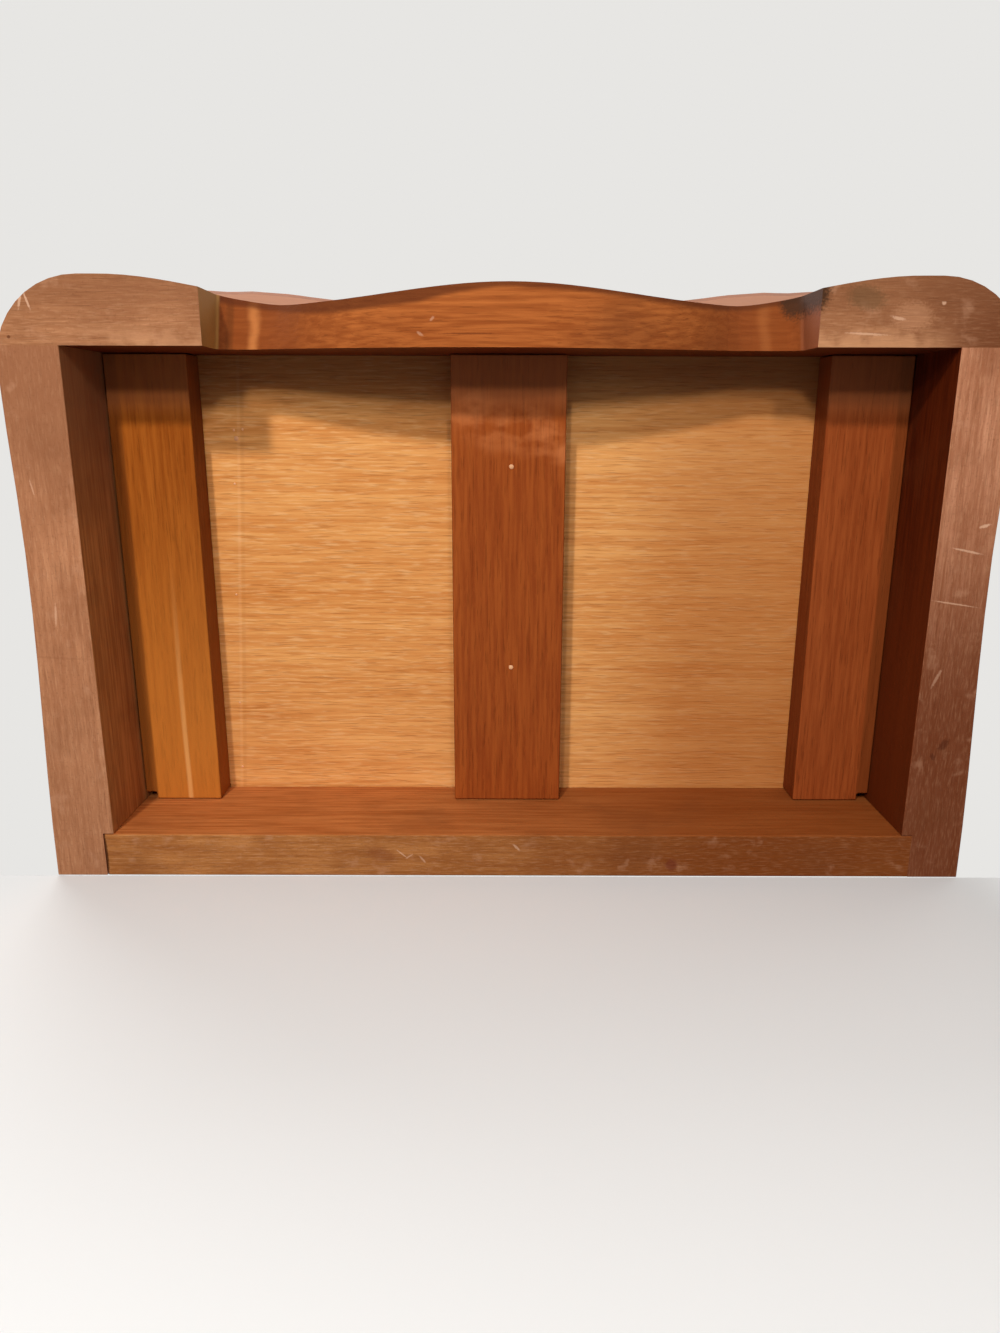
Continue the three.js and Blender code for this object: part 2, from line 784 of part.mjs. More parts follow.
// Lid: the plan grown by the overhang, its edge moulded with a bead, a step, an ogee and a round.
const ogeeHeight = lidThickness - 2 * lidFillet;
const ogeeFoot = lidOverhang - lidStep;
const roundFoot = ogeeFoot - lidCove;
const lidSections = [
  { grown: lidOverhang - lidFillet / 2, z: lidBottom },
  { grown: lidOverhang, z: lidBottom + lidFillet / 2 },
  { grown: lidOverhang, z: lidBottom + lidFillet },
];
const ogeeSteps = 6;
for (let i = 0; i <= ogeeSteps; i++) {
  const t = i / ogeeSteps;
  lidSections.push({ grown: ogeeFoot - lidCove * halfWave(t), z: lidBottom + lidFillet + ogeeHeight * t });
}
lidSections.push({ grown: roundFoot - lidFillet * 0.8, z: lidTop - lidFillet * 0.9 });
lidSections.push({ grown: roundFoot - lidFillet * 1.3, z: lidTop - lidFillet * 0.4 });
lidSections.push({ grown: roundFoot - lidFillet * 2, z: lidTop });
const lidStock = solidOf(lofted(lidSections.map(({ grown, z }) => ({ points: planOutline(grown), z }))));

// The lid is routed for a mirror held by a cloth-covered mat.
const mirrorSeat = matInset + matThickness + glueLine + mirrorThickness + glueLine;
const recess = {
  x: insideX - lidRail,
  back: hingeInset + leafReach + lidRail / 2,
  front: innerFront - lidRail / 2,
};
const lidRecess = block(
  -recess.x,
  recess.x,
  recess.back,
  recess.front,
  lidBottom - 1,
  lidBottom + mirrorSeat,
);
place("lid_panel", "lidWood", cutBy(lidStock, lidRecess, lidBevelTool, ...lidMortises));
const mirrorTop = lidBottom + mirrorSeat - glueLine;
const mirrorBottom = mirrorTop - mirrorThickness;
const sight = { x: recess.x - matBorder, back: recess.back + matBorder, front: recess.front - matBorder };
place(
  "lid_mirror",
  "mirror",
  block(
    -sight.x - mirrorLap,
    sight.x + mirrorLap,
    sight.back - mirrorLap,
    sight.front + mirrorLap,
    mirrorBottom,
    mirrorTop,
  ),
);
const matTop = mirrorBottom - glueLine;
const matBottom = matTop - matThickness;
place(
  "mirror_mat",
  "liningCloth",
  cutBy(
    block(-recess.x + fit, recess.x - fit, recess.back + fit, recess.front - fit, matBottom, matTop),
    block(-sight.x, sight.x, sight.back, sight.front, matBottom - 1, matTop + 1),
  ),
);

// Hinges: three knuckles, the outer two on the case leaf, the middle one on the lid leaf.
const hingeY = backFace - hingeInset;
const knuckle = hingeLength / 3;
function hinge(side, middle) {
  const left = middle - hingeLength / 2;
  const right = middle + hingeLength / 2;
  const inner0 = left + knuckle;
  const inner1 = right - knuckle;
  const pinBore = hingePinRadius + boreClearance;
  const bore = turnedAcross(rod(pinBore, left - 1, right + 1), hingeY, hingeZ, 16);
  const barrel = (x0, x1) => turnedAcross(rod(hingeBarrelRadius, x0, x1), hingeY, hingeZ, 20);
  const plate = (x0, x1, from, z0) =>
    block(x0, x1, from, hingeInset + leafReach, z0, z0 + leafThickness);
  const clearOfBarrel = hingeInset + barrelRoom;
  const caseLeafZ = bodyHeight - leafThickness;
  const caseLeaf = joined(
    plate(left, right, clearOfBarrel, caseLeafZ),
    plate(left, inner0 - fit / 2, hingeInset, caseLeafZ),
    plate(inner1 + fit / 2, right, hingeInset, caseLeafZ),
    barrel(left, inner0 - fit / 2),
    barrel(inner1 + fit / 2, right),
  );
  const lidLeaf = joined(
    plate(left, right, clearOfBarrel, lidBottom),
    plate(inner0 + fit / 2, inner1 - fit / 2, hingeInset, lidBottom),
    barrel(inner0 + fit / 2, inner1 - fit / 2),
  );
  place(side + "_hinge_case_leaf", "brass", cutBy(caseLeaf, bore));
  place(side + "_hinge_lid_leaf", "brass", cutBy(lidLeaf, bore));
  place(side + "_hinge_pin", "steel", turnedAcross(rod(hingePinRadius, left, right), hingeY, hingeZ, 16));
}
hinge("left", hingeMiddles[0]);
hinge("right", hingeMiddles[1]);

// Toothed outlines of the train: straight-flanked teeth, a little thinner than half the pitch.
const toothAbove = 0.62; // of the module, above the pitch line
const toothBelow = 1.05; // and below it
function gearOutline(teeth, module, turnedBy) {
  const pitchRadius = (module * teeth) / 2;
  const tip = pitchRadius + toothAbove * module;
  const root = pitchRadius - toothBelow * module;
  const points = [];
  for (let i = 0; i < teeth; i++) {
    const middle = turnedBy + (2 * Math.PI * i) / teeth;
    const rootHalf = (0.62 * module) / root;
    const tipHalf = (0.34 * module) / tip;
    for (const [r, a] of [
      [root, middle - rootHalf],
      [tip, middle - tipHalf],
      [tip, middle + tipHalf],
      [root, middle + rootHalf],
    ]) {
      points.push(new THREE.Vector2(r * Math.cos(a), r * Math.sin(a)));
    }
  }
  return points;
}

// A toothed wheel on an axis along X; angles are measured in the Y and Z plane.
function wheelAcross(outline, x0, x1, y, z) {
  const g = new THREE.ExtrudeGeometry(new THREE.Shape(outline), { depth: x1 - x0, bevelEnabled: false });
  g.applyMatrix4(alongX);
  g.translate(x0, y, z);
  return solidOf(g);
}

// Comb places: its teeth reach almost to the pins, level with the axis of the cylinder.
const combTipBack = axisBack + combTipGap;
const combRootBack = combTipBack + combLongTooth;
const combBack = combRootBack + combBase;
const combZ = axisZ - combThickness / 2;
const combTop = combZ + combThickness;
const combX = cylinderX + cylinderEnd;
const combX1 = combX + noteCount * notePitch;
const screwHole = screwRadius + boreClearance;
const combScrewBack = combRootBack + combBase / 2;
const combScrewXs = [combX + 3 * notePitch, (combX + combX1) / 2, combX1 - 3 * notePitch];
const pivotHole = pivotRadius + boreClearance;
const stopHole = stopWireRadius + boreClearance;

// Bedplate: a cast plate with the raised seat of the comb, bored for screws, pivots and arbors.
place(
  "bedplate",
  "brass",
  cutBy(
    joined(
      block(bedX, bedX + bedLength, bedBack, bedFront, bedZ, bedTop),
      block(combX, combX1, combRootBack, combBack, bedTop - bedThickness / 2, combZ - glueLine),
    ),
    turnedUpright(rod(windingRadius + boreClearance, bedZ - 1, bedTop + 1), barrelX, axisY, 16),
    turnedUpright(rod(pivotHole, bedZ - 1, bedTop + 1), flyX, flyY, 12),
    turnedUpright(rod(stopHole, bedZ - 1, bedTop + 1), stopX, flyY, 12),
    ...combScrewXs.map((x) =>
      turnedUpright(rod(screwHole, combZ - screwLength - fit, combZ + 1), x, backFace - combScrewBack, 12),
    ),
  ),
);

// Comb: tuned teeth cut in one steel plate, the long bass teeth at the left.
const combY = backFace - combBack;
const combOutline = [new THREE.Vector2(combX, combY), new THREE.Vector2(combX1, combY)];
for (let i = noteCount - 1; i >= 0; i--) {
  const x0 = combX + i * notePitch + combSlot / 2;
  const x1 = x0 + notePitch - combSlot;
  const length = combLongTooth - ((combLongTooth - combShortTooth) * i) / (noteCount - 1);
  const rootY = backFace - combTipBack - length;
  const tipY = backFace - combTipBack;
  const narrowing = notePitch * 0.1;
  combOutline.push(new THREE.Vector2(x1, rootY));
  combOutline.push(new THREE.Vector2(x1 - narrowing, tipY));
  combOutline.push(new THREE.Vector2(x0 + narrowing, tipY));
  combOutline.push(new THREE.Vector2(x0, rootY));
}
const combStock = standing(combOutline, combZ, combTop);
const screwTools = combScrewXs.map((x) =>
  turnedUpright(rod(screwHole, combZ - 1, combTop + 1), x, backFace - combScrewBack, 12),
);
place("comb", "steel", cutBy(combStock, ...screwTools));
["left", "middle", "right"].forEach((side, i) => {
  const headZ = combTop + glueLine;
  const profile = [
    [0, combZ - screwLength],
    [screwRadius, combZ - screwLength],
    [screwRadius, headZ],
    [1.9 * screwRadius, headZ],
    [1.9 * screwRadius, headZ + screwHeadHeight * 0.7],
    [1.3 * screwRadius, headZ + screwHeadHeight],
    [0, headZ + screwHeadHeight],
  ];
  const slot = 0.25 * screwRadius;
  const x = combScrewXs[i];
  const slotTool = block(
    x - 2.5 * screwRadius,
    x + 2.5 * screwRadius,
    combScrewBack - slot,
    combScrewBack + slot,
    headZ + screwHeadHeight * 0.5,
    headZ + screwHeadHeight + 1,
  );
  const turned = turnedUpright(profile, x, backFace - combScrewBack, 14);
  place("comb_screw_" + side, "steel", cutBy(turned, slotTool));
});

// Spring barrel: an inverted cup with a crown of teeth on its rim, turned by the mainspring inside.
const barrelZ = bedTop + runningGap;
const crownPitchZ = axisZ - crownPinionRadius;
const crownTipZ = crownPitchZ + toothAbove * crownModule;
const crownRootZ = crownPitchZ - toothBelow * crownModule;
function crownRing() {
  const r0 = crownRadius - crownToothLength / 2;
  const r1 = crownRadius + crownToothLength / 2;
  const baseZ = crownRootZ - barrelTopThickness / 2;
  const sections = [];
  for (let i = 0; i < crownTeeth; i++) {
    const middle = (2 * Math.PI * (i + 0.5)) / crownTeeth;
    const rootHalf = (0.62 * crownModule) / crownRadius;
    const tipHalf = (0.34 * crownModule) / crownRadius;
    sections.push([middle - rootHalf, crownRootZ], [middle - tipHalf, crownTipZ]);
    sections.push([middle + tipHalf, crownTipZ], [middle + rootHalf, crownRootZ]);
  }
  const positions = [];
  for (const [a, z] of sections) {
    for (const [r, h] of [
      [r0, baseZ],
      [r1, baseZ],
      [r1, z],
      [r0, z],
    ]) {
      positions.push(barrelX + r * Math.cos(a), axisY + r * Math.sin(a), h);
    }
  }
  const index = [];
  for (let s = 0; s < sections.length; s++) {
    for (let k = 0; k < 4; k++) {
      const a = s * 4 + k;
      const b = s * 4 + ((k + 1) % 4);
      const c = ((s + 1) % sections.length) * 4 + k;
      const d = ((s + 1) % sections.length) * 4 + ((k + 1) % 4);
      index.push(a, c, d, a, d, b);
    }
  }
  const g = new THREE.BufferGeometry();
  g.setAttribute("position", new THREE.Float32BufferAttribute(positions, 3));
  g.setIndex(index);
  return solidOf(g);
}
const barrelTurn = windingRadius + boreClearance;
place(
  "barrel_drum",
  "brass",
  joined(
    turnedUpright(
      [
        [barrelRadius - barrelWall, barrelZ],
        [barrelRadius, barrelZ],
        [barrelRadius, crownRootZ],
        [barrelTurn, crownRootZ],
        [barrelTurn, crownRootZ - barrelTopThickness],
        [barrelRadius - barrelWall, crownRootZ - barrelTopThickness],
      ],
      barrelX,
      axisY,
      40,
    ),
    crownRing(),
  ),
);
const capRadius = barrelRadius - barrelWall - boreClearance;
const capTop = barrelZ + barrelCapThickness;
place("barrel_cap", "brass", turnedUpright(tube(barrelTurn, capRadius, barrelZ, capTop), barrelX, axisY, 36));

// Mainspring: a flat strip wound from the arbor out to the wall of the barrel.
const springInner = windingRadius + fit;
const springOuter = barrelRadius - barrelWall - fit - springThickness;
const spiral = { inner: [], outer: [] };
const springSteps = springTurns * 14;
for (let i = 0; i <= springSteps; i++) {
  const a = (2 * Math.PI * springTurns * i) / springSteps;
  const r = springInner + ((springOuter - springInner) * i) / springSteps;
  spiral.inner.push(new THREE.Vector2(barrelX + r * Math.cos(a), axisY + r * Math.sin(a)));
  const out = r + springThickness;
  spiral.outer.push(new THREE.Vector2(barrelX + out * Math.cos(a), axisY + out * Math.sin(a)));
}
place(
  "mainspring",
  "steel",
  standing(
    [...spiral.outer, ...spiral.inner.reverse()],
    capTop + fit,
    crownRootZ - barrelTopThickness - fit,
  ),
);

// Barrel bridge: a strap over the drum on two posts, steadying the winding arbor.
const bridgeZ = crownTipZ + 2 * runningGap;
place(
  "barrel_bridge",
  "brass",
  cutBy(
    joined(
      block(
        barrelX - bridgeWidth / 2,
        barrelX + bridgeWidth / 2,
        axisBack - postOuter,
        axisBack + postOuter,
        bridgeZ,
        bridgeZ + plateThickness,
      ),
      block(
        barrelX - bridgeWidth / 2,
        barrelX + bridgeWidth / 2,
        axisBack - postOuter,
        axisBack - postInner,
        bedTop + glueLine,
        bridgeZ + plateThickness / 2,
      ),
      block(
        barrelX - bridgeWidth / 2,
        barrelX + bridgeWidth / 2,
        axisBack + postInner,
        axisBack + postOuter,
        bedTop + glueLine,
        bridgeZ + plateThickness / 2,
      ),
    ),
    turnedUpright(rod(barrelTurn, bridgeZ - 1, bridgeZ + plateThickness + 1), barrelX, axisY, 16),
  ),
);

// Winding arbor and its butterfly key above the cover.
const keyZ = coverTop + 2 * fit;
const keyTop = bodyHeight - keyBelowRim;
const hubTop = keyZ + keyHubHeight;
const arborTop = hubTop - keyHubHeight * 0.3;
const arborFoot = bedZ + fit;
place("winding_arbor", "steel", turnedUpright(rod(windingRadius, arborFoot, arborTop), barrelX, axisY, 16));
const wingZ = keyZ + keyHubHeight * 0.35;
const wingMiddle = (wingZ + keyTop) / 2;
const neck = keyHubRadius * 0.7;
const dip = keyHalfWidth * 0.36;
const dipZ = keyTop - (keyTop - wingZ) * 0.16;
const wingShape = new THREE.Shape();
wingShape.moveTo(-neck, wingZ);
wingShape.lineTo(neck, wingZ);
wingShape.bezierCurveTo(0.72 * keyHalfWidth, wingZ, keyHalfWidth, wingZ + 0.5, keyHalfWidth, wingMiddle);
wingShape.bezierCurveTo(keyHalfWidth, keyTop, 0.6 * keyHalfWidth, keyTop, dip, dipZ);
wingShape.quadraticCurveTo(0, hubTop - keyHubHeight * 0.2, -dip, dipZ);
wingShape.bezierCurveTo(-0.6 * keyHalfWidth, keyTop, -keyHalfWidth, keyTop, -keyHalfWidth, wingMiddle);
wingShape.bezierCurveTo(-keyHalfWidth, wingZ + 0.5, -0.72 * keyHalfWidth, wingZ, -neck, wingZ);
const wingGeometry = new THREE.ExtrudeGeometry(wingShape, {
  depth: keyThickness,
  bevelEnabled: false,
  curveSegments: 7,
});
wingGeometry.applyMatrix4(alongFront);
wingGeometry.translate(barrelX, axisY + keyThickness / 2, 0);
const hub = turnedUpright(
  [
    [0, keyZ],
    [keyHubRadius, keyZ],
    [keyHubRadius, keyZ + keyHubHeight * 0.7],
    [keyHubRadius * 0.75, hubTop],
    [0, hubTop],
  ],
  barrelX,
  axisY,
  20,
);
const keySocket = turnedUpright(rod(barrelTurn, keyZ - 1, arborTop + boreClearance), barrelX, axisY, 16);
place("winding_key", "brass", cutBy(joined(solidOf(wingGeometry), hub), keySocket));

// Cylinder: a brass tube set with pins, one track for each tooth of the comb.
const cylinderBore = arborRadius + boreClearance;
let cylinder = turnedAcross(
  [
    [cylinderBore, cylinderX],
    [cylinderRadius, cylinderX],
    [cylinderRadius, cylinderX + cylinderLength],
    [cylinderBore, cylinderX + cylinderLength],
  ],
  axisY,
  axisZ,
  40,
);
const pinRoot = cylinderRadius - pinThickness;
const pins = [];
for (let note = 0; note < noteCount; note++) {
  const x = combX + (note + 0.5) * notePitch;
  for (let beat = 0; beat < beatCount; beat++) {
    // A rising and falling figure: each beat sounds one note and its third.
    const melody = Math.round((noteCount / 2) * (1 + 0.9 * Math.sin((4 * Math.PI * beat) / beatCount)));
    const sounded = note === melody % noteCount || note === (melody + 4) % noteCount;
    if (!sounded) continue;
    const a = (2 * Math.PI * (beat + 0.5)) / beatCount;
    const g = new THREE.BoxGeometry(pinThickness, pinThickness, pinLength + cylinderRadius - pinRoot);
    g.translate(0, 0, (pinRoot + cylinderRadius + pinLength) / 2);
    g.rotateX(a);
    g.translate(x, axisY, axisZ);
    pins.push(solidOf(g));
  }
}
cylinder = joined(cylinder, ...pins);
place("music_cylinder", "brass", cylinder);

// Cylinder arbor with its pinion over the crown of the barrel.
const pinionX0 = crownMeshX - crownToothLength / 2;
const pinionX1 = crownMeshX + crownToothLength / 2;
const arborX1 = rightBracketX + plateThickness + fit;
const pinionOutline = gearOutline(cylinderPinionTeeth, crownModule, -Math.PI / 2);
place(
  "cylinder_arbor",
  "steel",
  joined(
    turnedAcross(rod(arborRadius, pinionX0 - fit, arborX1), axisY, axisZ, 14),
    wheelAcross(pinionOutline, pinionX0, pinionX1, axisY, axisZ),
  ),
);
const wheelX1 = wheelX + trainThickness;
place(
  "cylinder_wheel",
  "brass",
  cutBy(
    wheelAcross(gearOutline(cylinderWheelTeeth, trainModule, 0), wheelX, wheelX1, axisY, axisZ),
    turnedAcross(rod(cylinderBore, wheelX - 1, wheelX1 + 1), axisY, axisZ, 14),
  ),
);

// Second arbor: a leaf pinion driven by the cylinder wheel, and the worm wheel outside the bracket.
const leafTurn = Math.PI + Math.PI / secondPinionTeeth;
const secondEnd = outerPlateX + plateThickness - fit;
place(
  "second_arbor",
  "steel",
  joined(
    turnedAcross(rod(secondArborRadius, wheelX - fit, secondEnd), secondY, axisZ, 12),
    wheelAcross(gearOutline(secondPinionTeeth, trainModule, leafTurn), wheelX, wheelX1, secondY, axisZ),
  ),
);
const leadSlope = (wormStarts * wormModule) / (2 * wormPitchRadius);
const wormWheelSlices = 2;
const wormWheelSections = [];
for (let i = 0; i <= wormWheelSlices; i++) {
  const x = wormWheelThickness * (i / wormWheelSlices);
  const twist = ((x - wormWheelThickness / 2) * leadSlope) / wormWheelRadius;
  wormWheelSections.push({ points: gearOutline(wormWheelTeeth, wormModule, twist), z: x });
}
const wormWheelGeometry = lofted(wormWheelSections);
wormWheelGeometry.applyMatrix4(alongX);
wormWheelGeometry.translate(wormWheelX, secondY, axisZ);
const secondBore = secondArborRadius + boreClearance;
place(
  "worm_wheel",
  "brass",
  cutBy(
    solidOf(wormWheelGeometry),
    turnedAcross(rod(secondBore, wormWheelX - 1, wormWheelX + wormWheelThickness + 1), secondY, axisZ, 12),
  ),
);

// Worm: a lobed section carried up the shaft and turned as it rises, one lobe for each start.
const wormStepsPerTurn = 12;
const wormLead = Math.PI * wormModule * wormStarts;
const wormSteps = Math.round((wormStepsPerTurn * wormLength) / wormLead);
const wormRoot = wormPitchRadius - toothBelow * wormModule;
const wormTip = wormPitchRadius + toothAbove * wormModule;
const lobe = [
  [0, wormRoot],
  [0.21, wormRoot],
  [0.38, wormTip],
  [0.5, wormTip],
  [0.62, wormTip],
  [0.79, wormRoot],
];
const wormSections = [];
for (let step = 0; step <= wormSteps; step++) {
  const z = (wormLength * step) / wormSteps;
  const turnedBy = (2 * Math.PI * (z - wormLength / 2)) / wormLead - Math.PI / 2;
  const points = [];
  for (let start = 0; start < wormStarts; start++) {
    for (const [share, r] of lobe) {
      const a = turnedBy + (2 * Math.PI * (start + share)) / wormStarts;
      points.push(new THREE.Vector2(r * Math.cos(a), r * Math.sin(a)));
    }
  }
  wormSections.push({ points, z });
}
const wormGeometry = lofted(wormSections);
wormGeometry.translate(flyX, flyY, wormZ0);
const shoulder = bedTop + fit;
place(
  "worm_shaft",
  "steel",
  joined(
    solidOf(wormGeometry),
    turnedUpright(
      [
        [0, bedZ + fit],
        [pivotRadius, bedZ + fit],
        [pivotRadius, shoulder],
        [flyShaftRadius, shoulder + fit],
        [flyShaftRadius, shaftTop - fit],
        [pivotRadius, shaftTop],
        [pivotRadius, shaftTop + plateThickness],
        [0, shaftTop + plateThickness],
      ],
      flyX,
      flyY,
      12,
    ),
  ),
);

// Fly: a thin vane across a hub on the lower end of the worm shaft.
const flyTop = wormZ0 - 3 * runningGap;
const flyBottom = bedTop + flyAboveBed;
const vane = new THREE.BoxGeometry(2 * flyRadius, flyThickness, flyTop - flyBottom);
vane.translate(flyX, flyY, (flyBottom + flyTop) / 2);
const flyHub = turnedUpright(rod(flyHubRadius, flyBottom + fit, flyTop - fit), flyX, flyY, 14);
const flyBore = turnedUpright(
  rod(flyShaftRadius + boreClearance, flyBottom - 1, flyTop + 1),
  flyX,
  flyY,
  12,
);
place("governor_fly", "brass", cutBy(joined(solidOf(vane), flyHub), flyBore));

// Brackets: the left one carries the cylinder alone, the right one is the frame of the governor.
const bracketZ = bedTop + glueLine;
const footTop = bracketZ + bracketFootThickness;
const axisHole = (x, y, radius) => turnedAcross(rod(radius, x - 1, x + plateThickness + 1), y, axisZ, 14);
const axisBack0 = axisBack - bracketHalfWidth;
const axisBack1 = axisBack + bracketHalfWidth;
const leftBracketX1 = leftBracketX + plateThickness;
place(
  "left_bracket",
  "brass",
  cutBy(
    joined(
      block(leftBracketX, leftBracketX1, axisBack0, axisBack1, bracketZ, axisZ),
      block(leftBracketX, leftBracketX1 + bracketFoot, axisBack0, axisBack1, bracketZ, footTop),
      turnedAcross(rod(bracketHalfWidth, leftBracketX, leftBracketX1), axisY, axisZ, 20),
    ),
    axisHole(leftBracketX, axisY, cylinderBore),
  ),
);
const frameX1 = outerPlateX + plateThickness;
const secondBack0 = secondBack - bracketHalfWidth;
const secondBack1 = secondBack + bracketHalfWidth;
const rightBracketX1 = rightBracketX + plateThickness;
const armBack = flyBack - bracketHalfWidth;
const armZ = frameTop - plateThickness;
const flySweep = turnedUpright(
  rod(flyRadius + runningGap, bracketZ - 1, flyTop + runningGap),
  flyX,
  flyY,
  24,
);
place(
  "governor_frame",
  "brass",
  cutBy(
    joined(
      block(rightBracketX, rightBracketX1, secondBack0, axisBack1, bracketZ, frameTop),
      block(rightBracketX - bracketFoot, rightBracketX1, axisBack0, axisBack1, bracketZ, footTop),
      block(outerPlateX, frameX1, secondBack0, secondBack1, bracketZ, frameTop),
      block(outerPlateX, frameX1 + bracketFoot, secondBack, secondBack1, bracketZ, footTop),
      block(rightBracketX, frameX1, armBack, secondBack1, armZ, frameTop),
    ),
    flySweep,
    axisHole(rightBracketX, axisY, cylinderBore),
    axisHole(rightBracketX, secondY, secondBore),
    axisHole(outerPlateX, secondY, secondBore),
    turnedUpright(rod(pivotHole, armZ - 1, frameTop + 1), flyX, flyY, 12),
  ),
);

// Stop wire: pressed down by the closed lid, its foot lies over the fly and holds the train.
const stopFootZ = flyTop + fit;
const stopFootX = flyX + flyHubRadius + fit;
place(
  "stop_wire",
  "steel",
  joined(
    turnedUpright(rod(stopWireRadius, bedZ + fit, lidBottom - fit), stopX, flyY, 12),
    block(
      stopFootX,
      stopX,
      flyBack - stopWireRadius * 0.8,
      flyBack + stopWireRadius * 0.8,
      stopFootZ,
      stopFootZ + stopFootHeight,
    ),
  ),
);

export default box;
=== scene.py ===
"""Looks for a musical jewelry box of solid wood: a serpentine case on bracket feet with a moulded lid,
ring rolls, a lift-out tray and a key-wound movement. The camera looks into its underside."""

import json
import math

import bmesh
import bpy
from mathutils import Matrix, Vector, noise

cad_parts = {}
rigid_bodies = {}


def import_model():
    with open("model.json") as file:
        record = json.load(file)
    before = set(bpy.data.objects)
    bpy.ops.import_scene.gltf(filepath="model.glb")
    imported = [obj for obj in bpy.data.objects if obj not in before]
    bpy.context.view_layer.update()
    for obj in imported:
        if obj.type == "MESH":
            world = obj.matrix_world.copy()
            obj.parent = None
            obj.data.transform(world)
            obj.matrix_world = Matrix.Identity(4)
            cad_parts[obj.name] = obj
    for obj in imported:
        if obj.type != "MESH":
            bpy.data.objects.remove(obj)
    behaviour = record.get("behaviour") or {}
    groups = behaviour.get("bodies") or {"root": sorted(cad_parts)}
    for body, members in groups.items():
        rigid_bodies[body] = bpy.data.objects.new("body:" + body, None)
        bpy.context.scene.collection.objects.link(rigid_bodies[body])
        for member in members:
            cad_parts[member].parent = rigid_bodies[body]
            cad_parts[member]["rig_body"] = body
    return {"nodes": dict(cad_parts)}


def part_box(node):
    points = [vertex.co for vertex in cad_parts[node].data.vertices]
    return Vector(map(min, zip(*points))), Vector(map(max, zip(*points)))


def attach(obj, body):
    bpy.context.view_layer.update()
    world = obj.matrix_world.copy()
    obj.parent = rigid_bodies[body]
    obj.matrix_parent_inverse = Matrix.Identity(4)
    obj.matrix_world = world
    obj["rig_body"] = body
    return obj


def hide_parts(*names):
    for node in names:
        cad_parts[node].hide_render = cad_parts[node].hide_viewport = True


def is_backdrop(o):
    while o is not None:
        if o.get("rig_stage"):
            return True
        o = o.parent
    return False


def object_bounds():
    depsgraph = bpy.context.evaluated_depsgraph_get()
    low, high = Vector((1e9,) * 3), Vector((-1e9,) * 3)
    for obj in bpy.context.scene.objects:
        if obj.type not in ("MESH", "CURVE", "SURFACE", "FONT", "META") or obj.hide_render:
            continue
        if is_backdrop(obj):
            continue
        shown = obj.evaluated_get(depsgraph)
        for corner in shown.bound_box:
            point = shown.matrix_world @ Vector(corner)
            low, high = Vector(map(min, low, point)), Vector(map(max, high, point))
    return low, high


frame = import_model()
cad_low, cad_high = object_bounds()

# Case: four boards of cherry-toned wood. The serpentine front board is glued over the ends of the side
# boards, and the back board lies in their rabbets. Outside they are varnished, inside they are stained,
# and their lower edges are bare and worn, with scratches from years of being set down.


class Field:
    """A number, colour or vector that changes over a surface, as a socket of a material's nodes."""

    def __init__(self, tree, socket):
        self.tree = tree
        self.socket = socket

    def node(self, kind, settings, sockets, output=0):
        made = self.tree.nodes.new("ShaderNode" + kind)
        for name, value in settings.items():
            setattr(made, name, value)
        for name, value in sockets.items():
            if isinstance(value, Field):
                self.tree.links.new(value.socket, made.inputs[name])
            else:
                made.inputs[name].default_value = value
        return Field(self.tree, made.outputs[output])

    def math(self, operation, *values):
        return self.node("Math", {"operation": operation}, dict(enumerate((self, *values))))

    def __add__(self, other):
        return self.math("ADD", other)

    def __sub__(self, other):
        return self.math("SUBTRACT", other)

    def __mul__(self, other):
        return self.math("MULTIPLY", other)

    def __rsub__(self, other):
        return self.math("MULTIPLY", -1).math("ADD", other)

    __radd__ = __add__
    __rmul__ = __mul__

    def within(self, low, high):
        """0 below low and 1 above high, with a soft step between them."""
        sockets = {"Value": self, "From Min": low, "From Max": high}
        return self.node("MapRange", {"interpolation_type": "SMOOTHSTEP"}, sockets)

    def mix(self, first, second):
        """The first colour where this is 0, and the second where it is 1."""
        return self.node("Mix", {"data_type": "RGBA"}, {0: self, 6: first, 7: second}, 2)

    def part(self, axis):
        return self.node("SeparateXYZ", {}, {"Vector": self}, "XYZ".index(axis))

    def moved(self, scale=(1, 1, 1), shift=(0, 0, 0), turn=(0, 0, 0)):
        return self.node("Mapping", {}, {"Vector": self, "Scale": scale, "Location": shift, "Rotation": turn})

    def noise(self, scale, detail=2.0, distortion=0.0):
        sockets = {"Vector": self, "Scale": scale, "Detail": detail, "Distortion": distortion}
        return self.node("TexNoise", {}, sockets)

    def bump(self, depth, strength=1.0):
        return self.node("Bump", {}, {"Height": self, "Distance": depth, "Strength": strength})


def tone(red, green, blue):
    """A colour given as it looks on a screen, from 0 to 255."""
    levels = [value / 255 for value in (red, green, blue)]
    return (*[v / 12.92 if v <= 0.04045 else ((v + 0.055) / 1.055) ** 2.4 for v in levels], 1.0)


def surface(name, **constants):
    """A new material with its shader, and the coordinates that its patterns are drawn on."""
    made = bpy.data.materials.new(name)
    made.use_nodes = True
    shader = made.node_tree.nodes["Principled BSDF"]
    for socket, value in constants.items():
        shader.inputs[socket.replace("_", " ")].default_value = value
    place = made.node_tree.nodes.new("ShaderNodeTexCoord").outputs["Object"]
    return made, shader, Field(made.node_tree, place)


def feed(shader, **fields):
    for socket, field in fields.items():
        field.tree.links.new(field.socket, shader.inputs[socket.replace("_", " ")])


